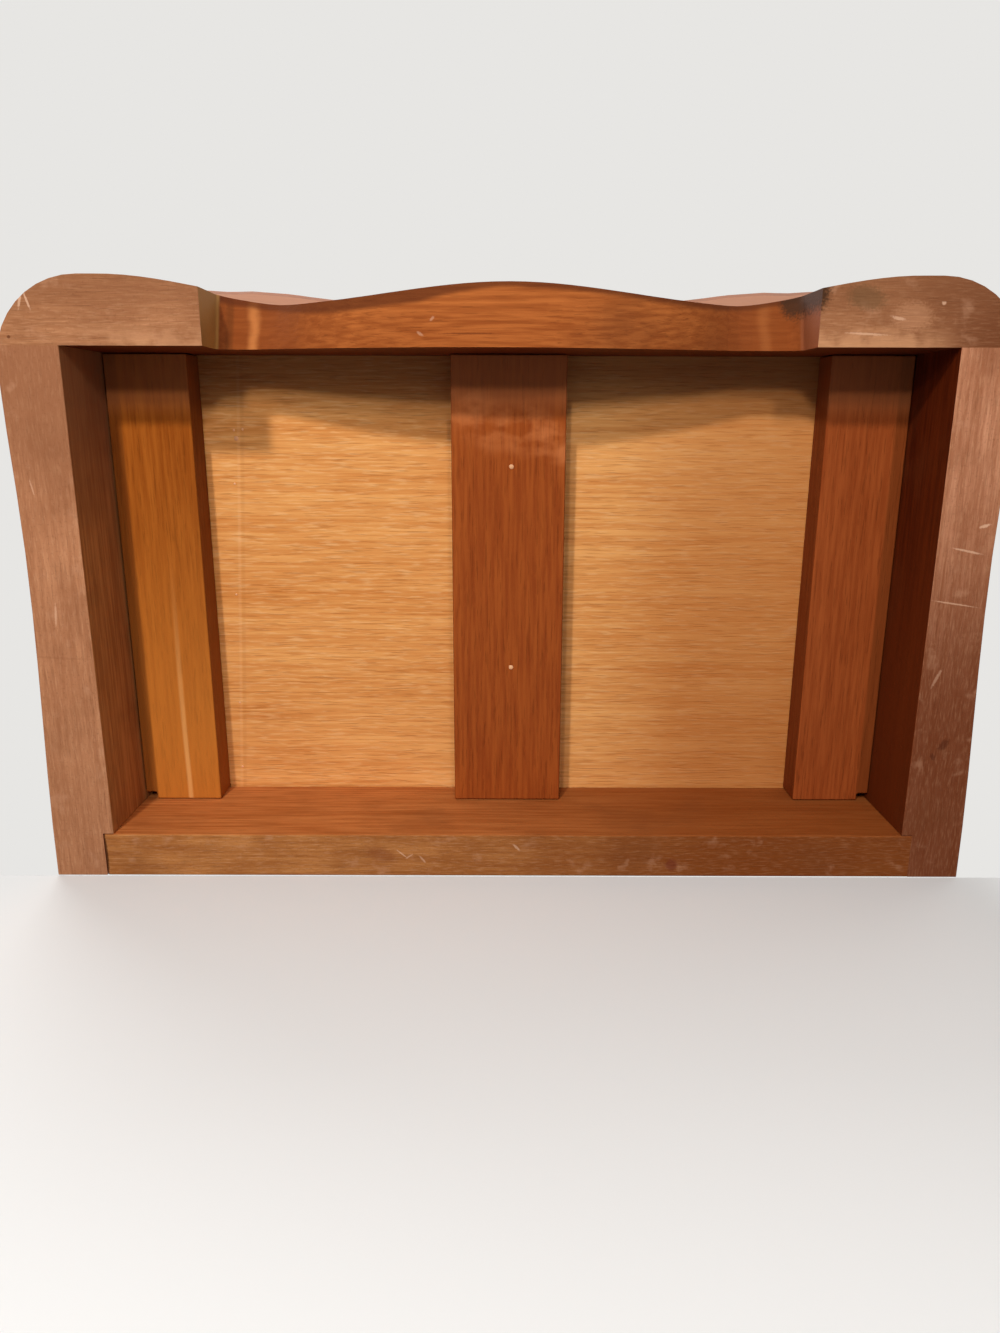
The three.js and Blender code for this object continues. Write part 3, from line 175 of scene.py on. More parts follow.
def grained(place, along, pale, deep, seed, pore_depth=0.45, banding=0.55):
    """Colour and relief of wood whose grain runs along one axis: bands, fibres and dark pores."""
    run = tuple(0.05 if axis == along else 1 for axis in "XYZ")
    grain = place.moved(scale=run, shift=(1.7 * seed, 2.3 * seed, 3.1 * seed))
    bands = grain.noise(48, 3, 0.7).within(0.34, 0.66)
    fibres = grain.noise(860, 4).within(0.3, 0.7)
    pores = grain.noise(2300, 1).within(0.6, 0.72)
    colour = (bands * banding + fibres * (1 - banding)).mix(deep, pale)
    dark = (*[channel * 0.35 for channel in deep[:3]], 1.0)
    return (pores * pore_depth).mix(colour, dark), fibres * 0.6 - pores


def spot(place, middle, across, along, turn=0.0, soft=0.5):
    """1 on a small oval spot or stroke of the underside, and 0 away from it."""
    scale = (across, along, 9)
    sockets = {"Vector": place, "Location": (*middle, 0), "Rotation": (0, 0, turn), "Scale": scale}
    local = place.node("Mapping", {"vector_type": "TEXTURE"}, sockets)
    away = local.node("VectorMath", {"operation": "LENGTH"}, {0: local}, 1)
    return 1 - (away + (place.noise(1400, 2) - 0.5) * 0.9).within(soft, 1.1)


inner_half_width = 0.1336
inner_front = -0.0719
inner_back = 0.0859
ground_level = 0.0009
bare_up_to = (0.026, 0.034)
varnished = (tone(146, 76, 45), tone(104, 45, 23))

# The front board's face swings from a crest in the middle through two hollows to its shoulders.
hollow_at = 0.064
shoulder_from_hollow = 0.056
hollow_depth = 0.08475
half_crest = 0.00265
half_shoulder = 0.00325
cut_out_end = (0.0919, 0.0923)
cut_out_top = (0.0224, 0.0228)


def board_finish(name, along, seed, inside, bare, worn, darkening_and_falloff, apron=False, marks=()):
    """Varnish outside, stain inside, bare wood on what faces the ground, worn where it stands.

    Darkening and falloff give the axis, start and end along which the wood darkens, partly its own tone and
    partly a painted falloff of light, and the colour it gets. Each mark has its middle, half its width and
    length, its turn, its strength and its colour."""
    made, shader, place = surface(name, Specular_IOR_Level=0.2, Coat_Roughness=0.15)
    facing = place.node("NewGeometry", {}, {}, 1)
    down = 1 - facing.part("Z").within(-0.85, -0.45)
    x, y, z = (place.part(axis) for axis in "XYZ")
    far = x.math("ABSOLUTE")
    outside, relief = grained(place, along, *varnished, seed)
    stained, _ = grained(place, along, *inside, seed + 1, 0.3, 0.3)
    below, _ = grained(place, along, *bare, seed + 2, 0.3, 0.3)
    standing, _ = grained(place, along, *worn, seed + 3, 0.3, 0.2)

    # The worn face is mottled, with the nap of short raised fibres that sanding and wear have left.
    patches = place.noise(58, 4).within(0.38, 0.64)
    standing = (patches * 0.5).mix(standing, worn[1])
    run = tuple(0.14 if axis == along else 1 for axis in "XYZ")
    nap = place.moved(scale=run, shift=(seed, 0, 0)).noise(1900, 4)
    specks = place.noise(1300, 3)
    axis, start, end, shade = darkening_and_falloff
    # Darker towards one end: partly the wood's own tone and partly a painted falloff of light.
    darker_end = place.part(axis).within(start, end)
    standing = (darker_end * 0.85).mix(standing, shade)
    stained = (darker_end * 0.7).mix(stained, shade)
    standing = (nap.within(0.46, 0.72) * (0.24 - darker_end * 0.12)).mix(standing, tone(222, 168, 126))
    standing = (specks.within(0.54, 0.72) * 0.24).mix(standing, tone(106, 62, 38))
    indoors = (1 - far.within(inner_half_width, inner_half_width + 0.0004)) * (
        y.within(inner_front - 0.0003, inner_front)
    ) * (1 - y.within(inner_back, inner_back + 0.0003))
    on_ground = (1 - z.within(ground_level * 0.4, ground_level)) * down
    low_down = 1 - z.within(*bare_up_to)
    bared = down * low_down
    if apron:
        # The cut-out between the feet is bare too.
        across_board = 1 - facing.part("Y").math("ABSOLUTE").within(0.3, 0.55)
        sawn_face = across_board * (1 - far.within(*cut_out_end))
        bared = bared.math("MAXIMUM", sawn_face * (1 - z.within(*cut_out_top)))

        # The stain of the face has crept round its lower edge, furthest left of the middle.
        crest = (far * (math.pi / hollow_at)).math("COSINE") * half_crest + half_crest
        swing = ((far - hollow_at) * (math.pi / shoulder_from_hollow)).math("COSINE")
        shoulder = half_shoulder - swing * half_shoulder
        beyond_hollow = far.math("GREATER_THAN", hollow_at)
        rise = crest * (1 - beyond_hollow) + shoulder * beyond_hollow
        from_face = y + hollow_depth + rise
        crept = from_face + (place.noise(60, 2) - 0.5) * 0.002
        crept = crept + x.within(-0.03, 0.0) * 0.0020 + (1 - x.within(-0.075, -0.055)) * 0.0016
        band = (1 - crept.within(0.0026, 0.0044)) * 0.8

        # Towards its ends the edge is darker with painted shade of the feet. A pale streak there is partly
        # wood figure and partly a painted highlight, and a dark line of painted shade lies in the corner
        # before the left foot.
        below = (far.within(0.045, 0.072) * 0.72).mix(below, tone(120, 57, 23))
        left_end = 1 - x.within(-0.01, 0.01)
        # Pale streak: partly wood figure and partly a painted highlight.
        streak_far = far + (place.noise(110, 3) - 0.5) * 0.003
        figure_and_highlight = streak_far.within(0.0772, 0.0797) * (1 - streak_far.within(0.0800, 0.0826))
        below = (figure_and_highlight * (left_end * 0.32 + 0.14)).mix(below, tone(224, 142, 78))
        # Painted shade in the corner before the left foot.
        corner_shade = far.within(0.0858, 0.0870) * (1 - far.within(0.0878, 0.0892)) * left_end
        below = (corner_shade * 0.5).mix(below, tone(92, 48, 20))
        below = band.mix(below, tone(92, 44, 22))
        # The end walls of the cut-out are painted paler on the left and darker on the right: painted light
        # and shade.
        painted_end_walls = facing.part("X").math("ABSOLUTE").within(0.75, 0.92)
        below = painted_end_walls.mix(below, left_end.mix(tone(152, 86, 52), tone(184, 132, 70)))

        # The feet are darker outside and paler inside, where they were rubbed.
        outer = 1 - y.within(-0.0885, -0.0765)
        standing = (outer * 0.5).mix(standing, tone(134, 84, 54))
        rubbed = y.within(-0.0790, -0.0725) * place.noise(120, 3).within(0.36, 0.56)
        rubbed = rubbed * (1 - far.within(0.118, 0.136))
        standing = (rubbed * 0.6).mix(standing, tone(212, 154, 110))
    colour = indoors.mix(outside, stained)
    colour = bared.mix(colour, below)
    colour = on_ground.mix(colour, standing)
    grime = place.noise(34, 5).within(0.48, 0.74) * 0.3
    colour = grime.mix(colour, tone(112, 62, 34))
    rubs = place.noise(130, 5, 0.2).within(0.58, 0.74) * on_ground
    colour = (rubs * 0.25).mix(colour, tone(214, 160, 124))
    under = bared.math("MAXIMUM", on_ground)
    for middle, across, length, turn, strength, shade in marks:
        colour = (spot(place, middle, across, length, turn) * under * strength).mix(colour, shade)
    unvarnished = bared.math("MAXIMUM", indoors)
    roughness = 0.38 + unvarnished * 0.26 + grime * 0.1
    feed(shader, Base_Color=colour, Roughness=roughness, Coat_Weight=(1 - unvarnished) * 0.2)
    rough = (nap * 0.5 - specks * 0.4 - rubs * 0.4) * on_ground
    feed(shader, Normal=(relief * 0.5 + rough).bump(0.00014, 0.7))
    return made


def cleaned(node):
    """A copy of a CAD piece's mesh with its doubles merged and its flat faces whole."""
    mesh = frame["nodes"][node].data.copy()
    work = bmesh.new()
    work.from_mesh(mesh)
    bmesh.ops.remove_doubles(work, verts=work.verts, dist=1e-6)
    flat = math.radians(0.3)
    bmesh.ops.dissolve_limit(work, angle_limit=flat, verts=work.verts, edges=work.edges)
    work.to_mesh(mesh)
    work.free()
    return mesh


def eased(node, width, finish, glued=None, reach=(0, 0, 0), cuts=(), shaped=None):
    """A CAD piece with its edges broken, shown in its place.

    Glued says where a joint is closed, and reach moves that place to its neighbour. Cuts are places
    across the piece where it gets new points, and shaped moves each point to where it should be."""
    mesh = cleaned(node)
    work = bmesh.new()
    work.from_mesh(mesh)
    for x in cuts:
        everything = [*work.verts, *work.edges, *work.faces]
        bmesh.ops.bisect_plane(work, geom=everything, plane_co=(x, 0, 0), plane_no=(1, 0, 0))
    if shaped:
        for vert in work.verts:
            vert.co = shaped(vert.co)
    sharp = math.radians(38)
    weights = work.edges.layers.float.new("bevel_weight_edge")
    for edge in work.edges:
        turned = len(edge.link_faces) == 2 and edge.calc_face_angle() > sharp
        closed = glued and all(glued(vert.co) for vert in edge.verts)
        edge[weights] = 1.0 if turned and not closed else 0.0
    if glued:
        for vert in work.verts:
            if glued(vert.co):
                vert.co += Vector(reach)
    work.to_mesh(mesh)
    work.free()
    mesh.materials.clear()
    mesh.materials.append(finish)
    mesh.shade_smooth()
    mesh.set_sharp_from_angle(angle=sharp)
    piece = bpy.data.objects.new(node + "_finished", mesh)
    bpy.context.scene.collection.objects.link(piece)
    if width:
        bevel = piece.modifiers.new("Broken edges", "BEVEL")
        bevel.width = width
        bevel.segments = 3
        bevel.limit_method = "WEIGHT"
        bevel.miter_outer = "MITER_ARC"
        weighted = piece.modifiers.new("Flat faces", "WEIGHTED_NORMAL")
        weighted.keep_sharp = True
        ready = piece.evaluated_get(bpy.context.evaluated_depsgraph_get())
        piece.data = bpy.data.meshes.new_from_object(ready)
        piece.modifiers.clear()
    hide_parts(node)
    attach(piece, frame["nodes"][node]["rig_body"])
    return piece


scratch = tone(230, 182, 148)
dark_knot = tone(84, 38, 20)
left_wood = board_finish(
    "left_board_wood",
    "Y",
    5.2,
    inside=(tone(196, 136, 80), tone(152, 96, 52)),
    bare=(tone(186, 108, 60), tone(146, 76, 38)),
    worn=(tone(198, 136, 96), tone(170, 110, 74)),
    darkening_and_falloff=("Y", -0.005, -0.060, tone(152, 98, 66)),
    marks=[
        ((-0.1440, 0.0100), 0.0004, 0.0045, 0.1, 0.4, scratch),
        ((-0.1465, -0.0300), 0.0003, 0.0030, -0.2, 0.4, scratch),
        ((-0.1440, 0.0240), 0.0110, 0.0005, 0.05, 0.3, tone(150, 92, 60)),
    ],
)
right_wood = board_finish(
    "right_board_wood",
    "Y",
    9.4,
    # The inside is much darker than the left board's: partly its own darker stain and partly painted shade.
    inside=(tone(104, 40, 11), tone(72, 22, 6)),
    bare=(tone(176, 98, 54), tone(130, 64, 32)),
    worn=(tone(206, 142, 106), tone(166, 104, 71)),
    darkening_and_falloff=("Y", -0.045, 0.050, tone(106, 46, 17)),
    marks=[
        ((0.1432, -0.0112), 0.0058, 0.0004, 0.2, 0.6, scratch),
        ((0.1410, 0.0055), 0.0082, 0.0003, 0.15, 0.5, scratch),
        ((0.1475, -0.0190), 0.0020, 0.0006, -0.3, 0.7, scratch),
        ((0.1385, 0.0300), 0.0006, 0.0040, 0.4, 0.3, scratch),
        ((0.1436, 0.0528), 0.0015, 0.0027, 0.6, 0.6, dark_knot),
        ((0.1405, 0.0570), 0.0008, 0.0016, -0.5, 0.6, dark_knot),
    ],
)
front_wood = board_finish(
    "front_board_wood",
    "X",
    1.0,
    inside=(tone(120, 60, 28), tone(88, 38, 14)),
    bare=(tone(188, 106, 50), tone(146, 74, 31)),
    worn=(tone(184, 126, 86), tone(154, 100, 65)),
    darkening_and_falloff=("X", 0.088, 0.150, tone(112, 61, 35)),
    apron=True,
    marks=[
        ((-0.1432, -0.0845), 0.0005, 0.0034, 0.25, 0.6, scratch),
        ((-0.1412, -0.0838), 0.0004, 0.0030, -0.3, 0.6, scratch),
        ((0.1180, -0.0800), 0.0070, 0.0050, 0.0, 0.35, tone(206, 148, 108)),
        ((0.1267, -0.0838), 0.0008, 0.0006, 0.0, 0.6, scratch),
        ((0.1140, -0.0795), 0.0026, 0.0006, 0.2, 0.5, scratch),
        ((0.1490, -0.0825), 0.0007, 0.0008, 0.0, 0.6, scratch),
        ((0.1050, -0.0752), 0.0070, 0.0004, 0.05, 0.5, scratch),
        ((-0.1478, -0.0738), 0.0006, 0.0006, 0.0, 0.7, dark_knot),
        ((0.1040, -0.0852), 0.0068, 0.0040, 0.2, 0.55, tone(104, 76, 48)),
        # A painted shadow on the corner of the right foot.
        ((0.0890, -0.0866), 0.0050, 0.0064, 0.0, 0.88, tone(62, 40, 26)),
        ((-0.0119, -0.0753), 0.0105, 0.0003, 0.0, 0.6, tone(98, 44, 20)),
        ((-0.0269, -0.0753), 0.0014, 0.0005, 0.6, 0.3, scratch),
        ((-0.0232, -0.0795), 0.0011, 0.0005, -0.8, 0.3, scratch),
    ],
)
back_wood = board_finish(
    "back_board_wood",
    "X",
    13.6,
    inside=(tone(204, 126, 68), tone(168, 92, 42)),
    bare=(tone(186, 108, 60), tone(146, 76, 38)),
    worn=(tone(196, 128, 70), tone(160, 94, 44)),
    darkening_and_falloff=("X", -0.07, 0.085, tone(120, 55, 15)),
    marks=[
        ((-0.1366, 0.0930), 0.0006, 0.0090, 0.0, 0.8, tone(62, 26, 10)),
        ((-0.0430, 0.0930), 0.0060, 0.0030, 0.2, 0.35, tone(130, 64, 34)),
        ((-0.0360, 0.0925), 0.0026, 0.0003, 0.7, 0.5, scratch),
        ((-0.0335, 0.0935), 0.0018, 0.0003, -0.6, 0.4, scratch),
        ((-0.0290, 0.0945), 0.0020, 0.0004, 0.9, 0.4, scratch),
        ((0.0030, 0.0900), 0.0018, 0.0005, 0.8, 0.5, scratch),
        ((0.0560, 0.0965), 0.0024, 0.0026, 0.0, 0.5, tone(110, 42, 34)),
    ],
)


def on_inner_face(co):
    """True on the inner face of the front board, where the side boards meet it."""
    return -0.0716 < co.y < -0.0712


def front_joint(co):
    """True where the front board is glued over the ends of the side boards."""
    return on_inner_face(co) and abs(co.x) > 0.1334


def right_rabbet(co):
    """True where the back board is glued into the right side board's rabbet."""
    return co.x > 0.1360 and co.y > 0.0800


foot_wall = 0.0912
fillet_start = 0.0855
gap_height = 0.022
inner_height = 0.016
apron_low = 0.0026
level_middle = 0.005
left_slope = (0.082, 1.9)
right_slope = (0.070, 1.3)


def leaning_cut(co):
    """The cut-out leans: its inner edge lies lower than its outer one, and comes down to the middle in a
    straighter line, which is longer on the left."""
    far = abs(co.x)
    on_edge = on_inner_face(co) and 0.0005 < co.z < gap_height + 0.0002
    if not on_edge or far > foot_wall:
        return co
    if far > fillet_start:
        return Vector((co.x, co.y, co.z * inner_height / gap_height))
    slope_end, curve = left_slope if co.x < 0 else right_slope
    climb = min(max(far - level_middle, 0.0) / (slope_end - level_middle), 1.0) ** curve
    return Vector((co.x, co.y, apron_low + (inner_height - apron_low) * climb))


glue_line = 0.0001
side_joint = 0.1335
edge_step = 0.004
edge_cuts = [-side_joint, side_joint, *[step * edge_step for step in range(-21, 22)]]
eased("front_board", 0.0006, front_wood, front_joint, cuts=edge_cuts, shaped=leaning_cut)
eased("left_side_board", 0.0006, left_wood, front_joint, (0, -glue_line, 0))
eased("right_side_board", 0.0006, right_wood, front_joint, (0, -glue_line, 0))
eased("back_board", 0.0005, back_wood, right_rabbet, (glue_line, 0, 0))

# Bottom panel: thin plywood let into grooves round the case. Its pale face veneer has straight grain
# from side to side, with short dark pores. A painted falloff of light darkens it towards the right and a
# little towards the back, painted shade darkens its front margin, and a faint ridge with a painted highlight
# and a crease with painted shade run where a partition stands on it.
panel_finish, shader, place = surface("plywood_veneer", Specular_IOR_Level=0.25)
lines = place.moved(scale=(0.03, 1, 1))
ribbon = lines.noise(150, 4, 0.3).within(0.34, 0.66)
thread = lines.noise(1150, 4).within(0.34, 0.68)
fleck = place.moved(scale=(0.12, 1, 1), shift=(1.0, 0, 0)).noise(1250, 2).within(0.5, 0.7)
dashes = place.moved(scale=(0.06, 1, 1), shift=(3.0, 0, 0)).noise(1900, 1).within(0.56, 0.7)
cloud = place.noise(11, 3).within(0.35, 0.65)
tan = (ribbon * 0.24 + thread * 0.42 + cloud * 0.34).mix(tone(212, 132, 64), tone(250, 182, 108))
tan = (fleck * 0.3).mix(tan, tone(255, 206, 146))
tan = (dashes * 0.3).mix(tan, tone(156, 86, 34))
partition_line = 0.0961
partition_slant = 0.0598
beside_line = place.part("X") + place.part("Y") * partition_slant + partition_line
# A faint ridge with a painted highlight on it, and painted shade in the crease beside it.
ridge_and_highlight = 1 - (beside_line + 0.0004).math("ABSOLUTE").within(0.0002, 0.0008)
crease_shade = 1 - (beside_line - 0.0010).math("ABSOLUTE").within(0.0002, 0.0010)
tan = (ridge_and_highlight * 0.1).mix(tan, tone(255, 208, 156))
tan = (crease_shade * 0.1).mix(tan, tone(168, 98, 46))
# Painted falloff of light: darker towards the right and a little towards the back.
painted_falloff = place.part("X").within(0.012, 0.080) * 0.56 + place.part("Y").within(0.0, 0.09) * 0.1
tan = painted_falloff.mix(tan, tone(168, 94, 42))
# Painted shade along the front margin, under the front board.
painted_front_shade = 1 - place.part("Y").within(-0.066, -0.054)
tan = (painted_front_shade * 0.5).mix(tan, tone(112, 56, 18))
feed(shader, Base_Color=tan, Roughness=0.5 + thread * 0.16)
feed(shader, Normal=(thread * 0.5 + fleck * 0.3 - dashes * 0.6 + ridge_and_highlight * 0.2).bump(0.00012, 0.7))
eased("bottom_panel", 0, panel_finish)

# Battens: three planed strips of half-inch stock glued and bradded across the bottom, one along each
# side board and a wider one in the middle. Each was cut from another plank, so their tones differ.
outer_edge = (0.1284, 0.1294)
front_end = (-0.060, -0.050)


def batten_finish(name, pale, deep, seed, streak_at=None, figured=False):
    made, shader, place = surface(name, Specular_IOR_Level=0.15)
    colour, relief = grained(place, "Y", pale, deep, seed, 0.3, 0.25)
    flame = place.moved(scale=(1, 0.22, 1), turn=(0, 0, 0.5), shift=(seed, 0, 0)).noise(70, 3, 0.8)
    colour = (flame.within(0.45, 0.7) * 0.3).mix(colour, deep)
    flecks = place.moved(scale=(1, 0.4, 1)).noise(900, 3)
    colour = (flecks.within(0.56, 0.72) * 0.25).mix(colour, pale)
    x, y = place.part("X"), place.part("Y")
    if streak_at:
        # This strip is paler towards the back, where a thin stripe of sapwood comes up in it.
        colour = (y.within(-0.055, 0.08) * 0.5).mix(colour, tone(226, 138, 56))
        wander = x + (place.moved(scale=(1, 0.2, 1)).noise(30, 2) - 0.5) * 0.003
        stripe = wander.within(streak_at - 0.0012, streak_at - 0.0003) * (
            1 - wander.within(streak_at + 0.0003, streak_at + 0.0012)
        )
        colour = (stripe * y.within(-0.01, 0.08) * 0.5).mix(colour, tone(255, 186, 112))
    if figured:
        # Curly grain crosses this strip near the front.
        slanting = y - x * 0.3 + (place.noise(90, 3) - 0.5) * 0.012
        here = slanting.within(-0.060, -0.052) * (1 - slanting.within(-0.048, -0.036))
        curl = place.moved(scale=(0.6, 1, 1)).noise(160, 4).within(0.36, 0.66)
        colour = (curl * here * 0.55).mix(colour, tone(212, 126, 72))
    # The outer edge, where the strip lies against the side board, is darkened by a painted shadow of that
    # board.
    # The front end is paler, and the sides are darkened by painted shade.
    wall_shadow = x.math("ABSOLUTE").within(*outer_edge)
    colour = (wall_shadow * 0.55).mix(colour, tone(96, 46, 17))
    paler_front = 1 - y.within(*front_end)
    colour = (paler_front * 0.4).mix(colour, tone(200, 122, 74))
    # Painted shade on the sides of the strip.
    side = place.node("NewGeometry", {}, {}, 1).part("X").math("ABSOLUTE").within(0.6, 0.9)
    colour = (side * 0.4).mix(colour, tone(58, 20, 4))
    feed(shader, Base_Color=colour, Roughness=0.55 + flame * 0.14)
    feed(shader, Normal=(relief + flecks * 0.4).bump(0.00012, 0.6))
    return made


left_strip = batten_finish("left_batten_wood", tone(170, 92, 29), tone(138, 66, 15), 2.1, streak_at=-0.1168)
centre_strip = batten_finish("centre_batten_wood", tone(166, 83, 33), tone(140, 63, 24), 6.3, figured=True)
right_strip = batten_finish("right_batten_wood", tone(162, 80, 36), tone(138, 62, 25), 11.7)
eased("left_batten", 0.0005, left_strip)
eased("centre_batten", 0.0005, centre_strip)
eased("right_batten", 0.0005, right_strip)

# Brads: small steel nails with flat heads, driven through the middle batten, and the points of the ones
# that hold the inner partition from above and just show through the plywood. Their dull plating
# scatters light more than it mirrors it.
head_tree = bpy.data.node_groups.new("driven_heads", "GeometryNodeTree")
head_inputs = {}
for label, kind in (
    ("Places", "NodeSocketGeometry"),
    ("Radius", "NodeSocketFloat"),
    ("Rise", "NodeSocketFloat"),
    ("Slot width", "NodeSocketFloat"),
    ("Slotted", "NodeSocketBool"),
    ("Turn", "NodeSocketVector"),
    ("Finish", "NodeSocketMaterial"),
):
    made = head_tree.interface.new_socket(label, in_out="INPUT", socket_type=kind)
    head_inputs[label] = made.identifier
head_tree.interface.new_socket("Heads", in_out="OUTPUT", socket_type="NodeSocketGeometry")


def head_node(kind, settings, sockets):
    made = head_tree.nodes.new(kind)
    for name, value in settings.items():
        setattr(made, name, value)
    for name, value in sockets.items():
        if isinstance(value, bpy.types.NodeSocket):
            head_tree.links.new(value, made.inputs[name])
        else:
            made.inputs[name].default_value = value
    return made.outputs[0] if made.outputs else made


given = head_tree.nodes.new("NodeGroupInput").outputs
ball = head_node("GeometryNodeMeshUVSphere", {}, {"Segments": 20, "Rings": 10, "Radius": given["Radius"]})
flatness = head_node("ShaderNodeMath", {"operation": "DIVIDE"}, {0: given["Rise"], 1: given["Radius"]})
squat = head_node("ShaderNodeCombineXYZ", {}, {"X": 1.0, "Y": 1.0, "Z": flatness})
dome = head_node("GeometryNodeTransform", {}, {"Geometry": ball, "Scale": squat})
reach = head_node("ShaderNodeMath", {"operation": "MULTIPLY"}, {0: given["Radius"], 1: 3.0})
cut_size = head_node("ShaderNodeCombineXYZ", {}, {"X": given["Slot width"], "Y": reach, "Z": given["Rise"]})
cutter = head_node("GeometryNodeMeshCube", {}, {"Size": cut_size})
lift = head_node("ShaderNodeCombineXYZ", {}, {"Z": given["Rise"]})
raised = head_node("GeometryNodeTransform", {}, {"Geometry": cutter, "Translation": lift})
cut = head_node("GeometryNodeMeshBoolean", {"operation": "DIFFERENCE"}, {"Mesh 1": dome, "Mesh 2": raised})
head = head_node("GeometryNodeSwitch", {"input_type": "GEOMETRY"}, {0: given["Slotted"], 1: dome, 2: cut})
points = head_node("GeometryNodeMeshToPoints", {}, {"Mesh": given["Places"]})
sockets = {"Points": points, "Instance": head, "Rotation": given["Turn"]}
set_out = head_node("GeometryNodeInstanceOnPoints", {}, sockets)
real = head_node("GeometryNodeRealizeInstances", {}, {"Geometry": set_out})
smooth = head_node("GeometryNodeSetShadeSmooth", {}, {0: real, "Shade Smooth": True})
finished = head_node("GeometryNodeSetMaterial", {}, {"Geometry": smooth, "Material": given["Finish"]})
head_node("NodeGroupOutput", {}, {"Heads": finished})


def driven(name, places, radius, rise, finish, slot, body, slotted=False, turn=(0, 0, 0)):
    """Heads of nails or screws, one at each place, made with Geometry Nodes and turned into a mesh."""
    mesh = bpy.data.meshes.new(name)
    mesh.from_pydata(places, [], [])
    piece = bpy.data.objects.new(name, mesh)
    bpy.context.scene.collection.objects.link(piece)
    modifier = piece.modifiers.new("Heads", "NODES")
    modifier.node_group = head_tree
    for label, value in {
        "Radius": radius,
        "Rise": rise,
        "Slot width": radius * 0.28,
        "Slotted": slotted,
        "Turn": turn,
        "Finish": finish,
    }.items():
        modifier[head_inputs[label]] = value
    ready = piece.evaluated_get(bpy.context.evaluated_depsgraph_get())
    piece.data = bpy.data.meshes.new_from_object(ready)
    piece.modifiers.clear()
    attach(piece, body)
    return piece


def metal(name, pale, deep, roughness, along="X", mirroring=1.0):
    """Plated or bare metal with faint brushing along one axis and a little tarnish."""
    made, shader, place = surface(name, Metallic=mirroring)
    run = tuple(0.06 if axis == along else 1 for axis in "XYZ")
    brushing = place.moved(scale=run).noise(4200, 2)
    tarnish = place.noise(160, 3).within(0.42, 0.68)
    feed(shader, Base_Color=(tarnish * 0.7 + brushing * 0.3).mix(pale, deep))
    feed(shader, Roughness=roughness + tarnish * 0.14 + brushing * 0.08)
    feed(shader, Normal=brushing.bump(0.00002, 0.5))
    return made


nail_steel = metal("nail_steel", tone(252, 196, 148), tone(228, 166, 120), 0.35, mirroring=0.15)
batten_face = 0.0302
panel_face = 0.043
head_places = [(0.0010, -0.0352, batten_face), (0.0012, 0.0347, batten_face)]
raised_place = [(-0.0946, -0.0440, panel_face)]
driven("batten_brads", head_places, 0.0008, 0.0003, nail_steel, "steel", "case")
driven("raised_brad_point", raised_place, 0.0008, 0.0005, nail_steel, "steel", "case")
point_places = [
    (-0.0952, -0.0468, panel_face),
    (-0.0922, -0.0470, panel_face),
    (-0.0962, -0.0285, panel_face),
    (-0.0984, 0.0110, panel_face),
    (-0.1000, 0.0520, panel_face),
    (-0.1007, 0.0775, panel_face),
]
driven("partition_brad_points", point_places, 0.0004, 0.0003, nail_steel, "steel", "case")

# Inner woodwork: thin stained partitions, the cleat that carries the movement's cover, and the two
# runners on which the tray rests.


def inner_finish(name, along, seed):
    made, shader, place = surface(name, Specular_IOR_Level=0.4)
    colour, relief = grained(place, along, tone(158, 88, 52), tone(112, 54, 28), seed)
    feed(shader, Base_Color=colour, Roughness=0.42 + relief * 0.08)
    feed(shader, Normal=relief.bump(0.0001, 0.5))
    return made


inner_along_y = inner_finish("inner_wood_lengthways", "Y", 3.3)
inner_along_x = inner_finish("inner_wood_crossways", "X", 7.9)
for node in ("ring_partition", "centre_partition", "cover_cleat"):
    eased(node, 0.0004, inner_along_y)
for node in ("movement_partition", "back_tray_runner", "front_tray_runner"):
    eased(node, 0.0004, inner_along_x)

# Linings: short-pile velvet over thin padding, laid on the bottom of the two wells. The pile lies in
# slightly different directions, which makes soft light and dark patches.


def velvet(name, pale, deep):
    made, shader, place = surface(name, Sheen_Weight=0.6, Sheen_Roughness=0.35, Specular_IOR_Level=0.1)
    shader.inputs["Sheen Tint"].default_value = tone(255, 168, 160)
    patches = place.noise(22, 4, 0.8).within(0.36, 0.66)
    pile = place.noise(2600, 2)
    feed(shader, Base_Color=(patches * 0.6 + pile * 0.4).mix(deep, pale), Roughness=0.86 + pile * 0.1)
    feed(shader, Normal=(pile + patches * 0.3).bump(0.0003, 0.5))
    return made


red_velvet = velvet("red_velvet", tone(150, 34, 46), tone(104, 18, 30))


dimple_depth = 0.12
dimples_per_metre = 60


def spaced(length, rim, step):
    """Places across a pad: close together over its rounded rim, even between."""
    rims = [rim * share for share in (0, 0.08, 0.28, 0.6, 1.0)]
    count = max(2, round((length - 2 * rim) / step))
    inner = [rim + (length - 2 * rim) * i / count for i in range(1, count)]
    return rims + inner + [length - value for value in reversed(rims)]


def cloth_piece(name, verts, faces, nodes, body):
    """A closed cloth-covered piece, smooth-shaded, in place of the plain solids."""
    mesh = bpy.data.meshes.new(name)
    mesh.from_pydata(verts, [], faces)
    work = bmesh.new()
    work.from_mesh(mesh)
    bmesh.ops.recalc_face_normals(work, faces=work.faces)
    work.to_mesh(mesh)
    work.free()
    mesh.materials.append(red_velvet)
    mesh.shade_smooth()
    piece = bpy.data.objects.new(name, mesh)
    bpy.context.scene.collection.objects.link(piece)
    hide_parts(*nodes)
    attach(piece, body)
    return piece


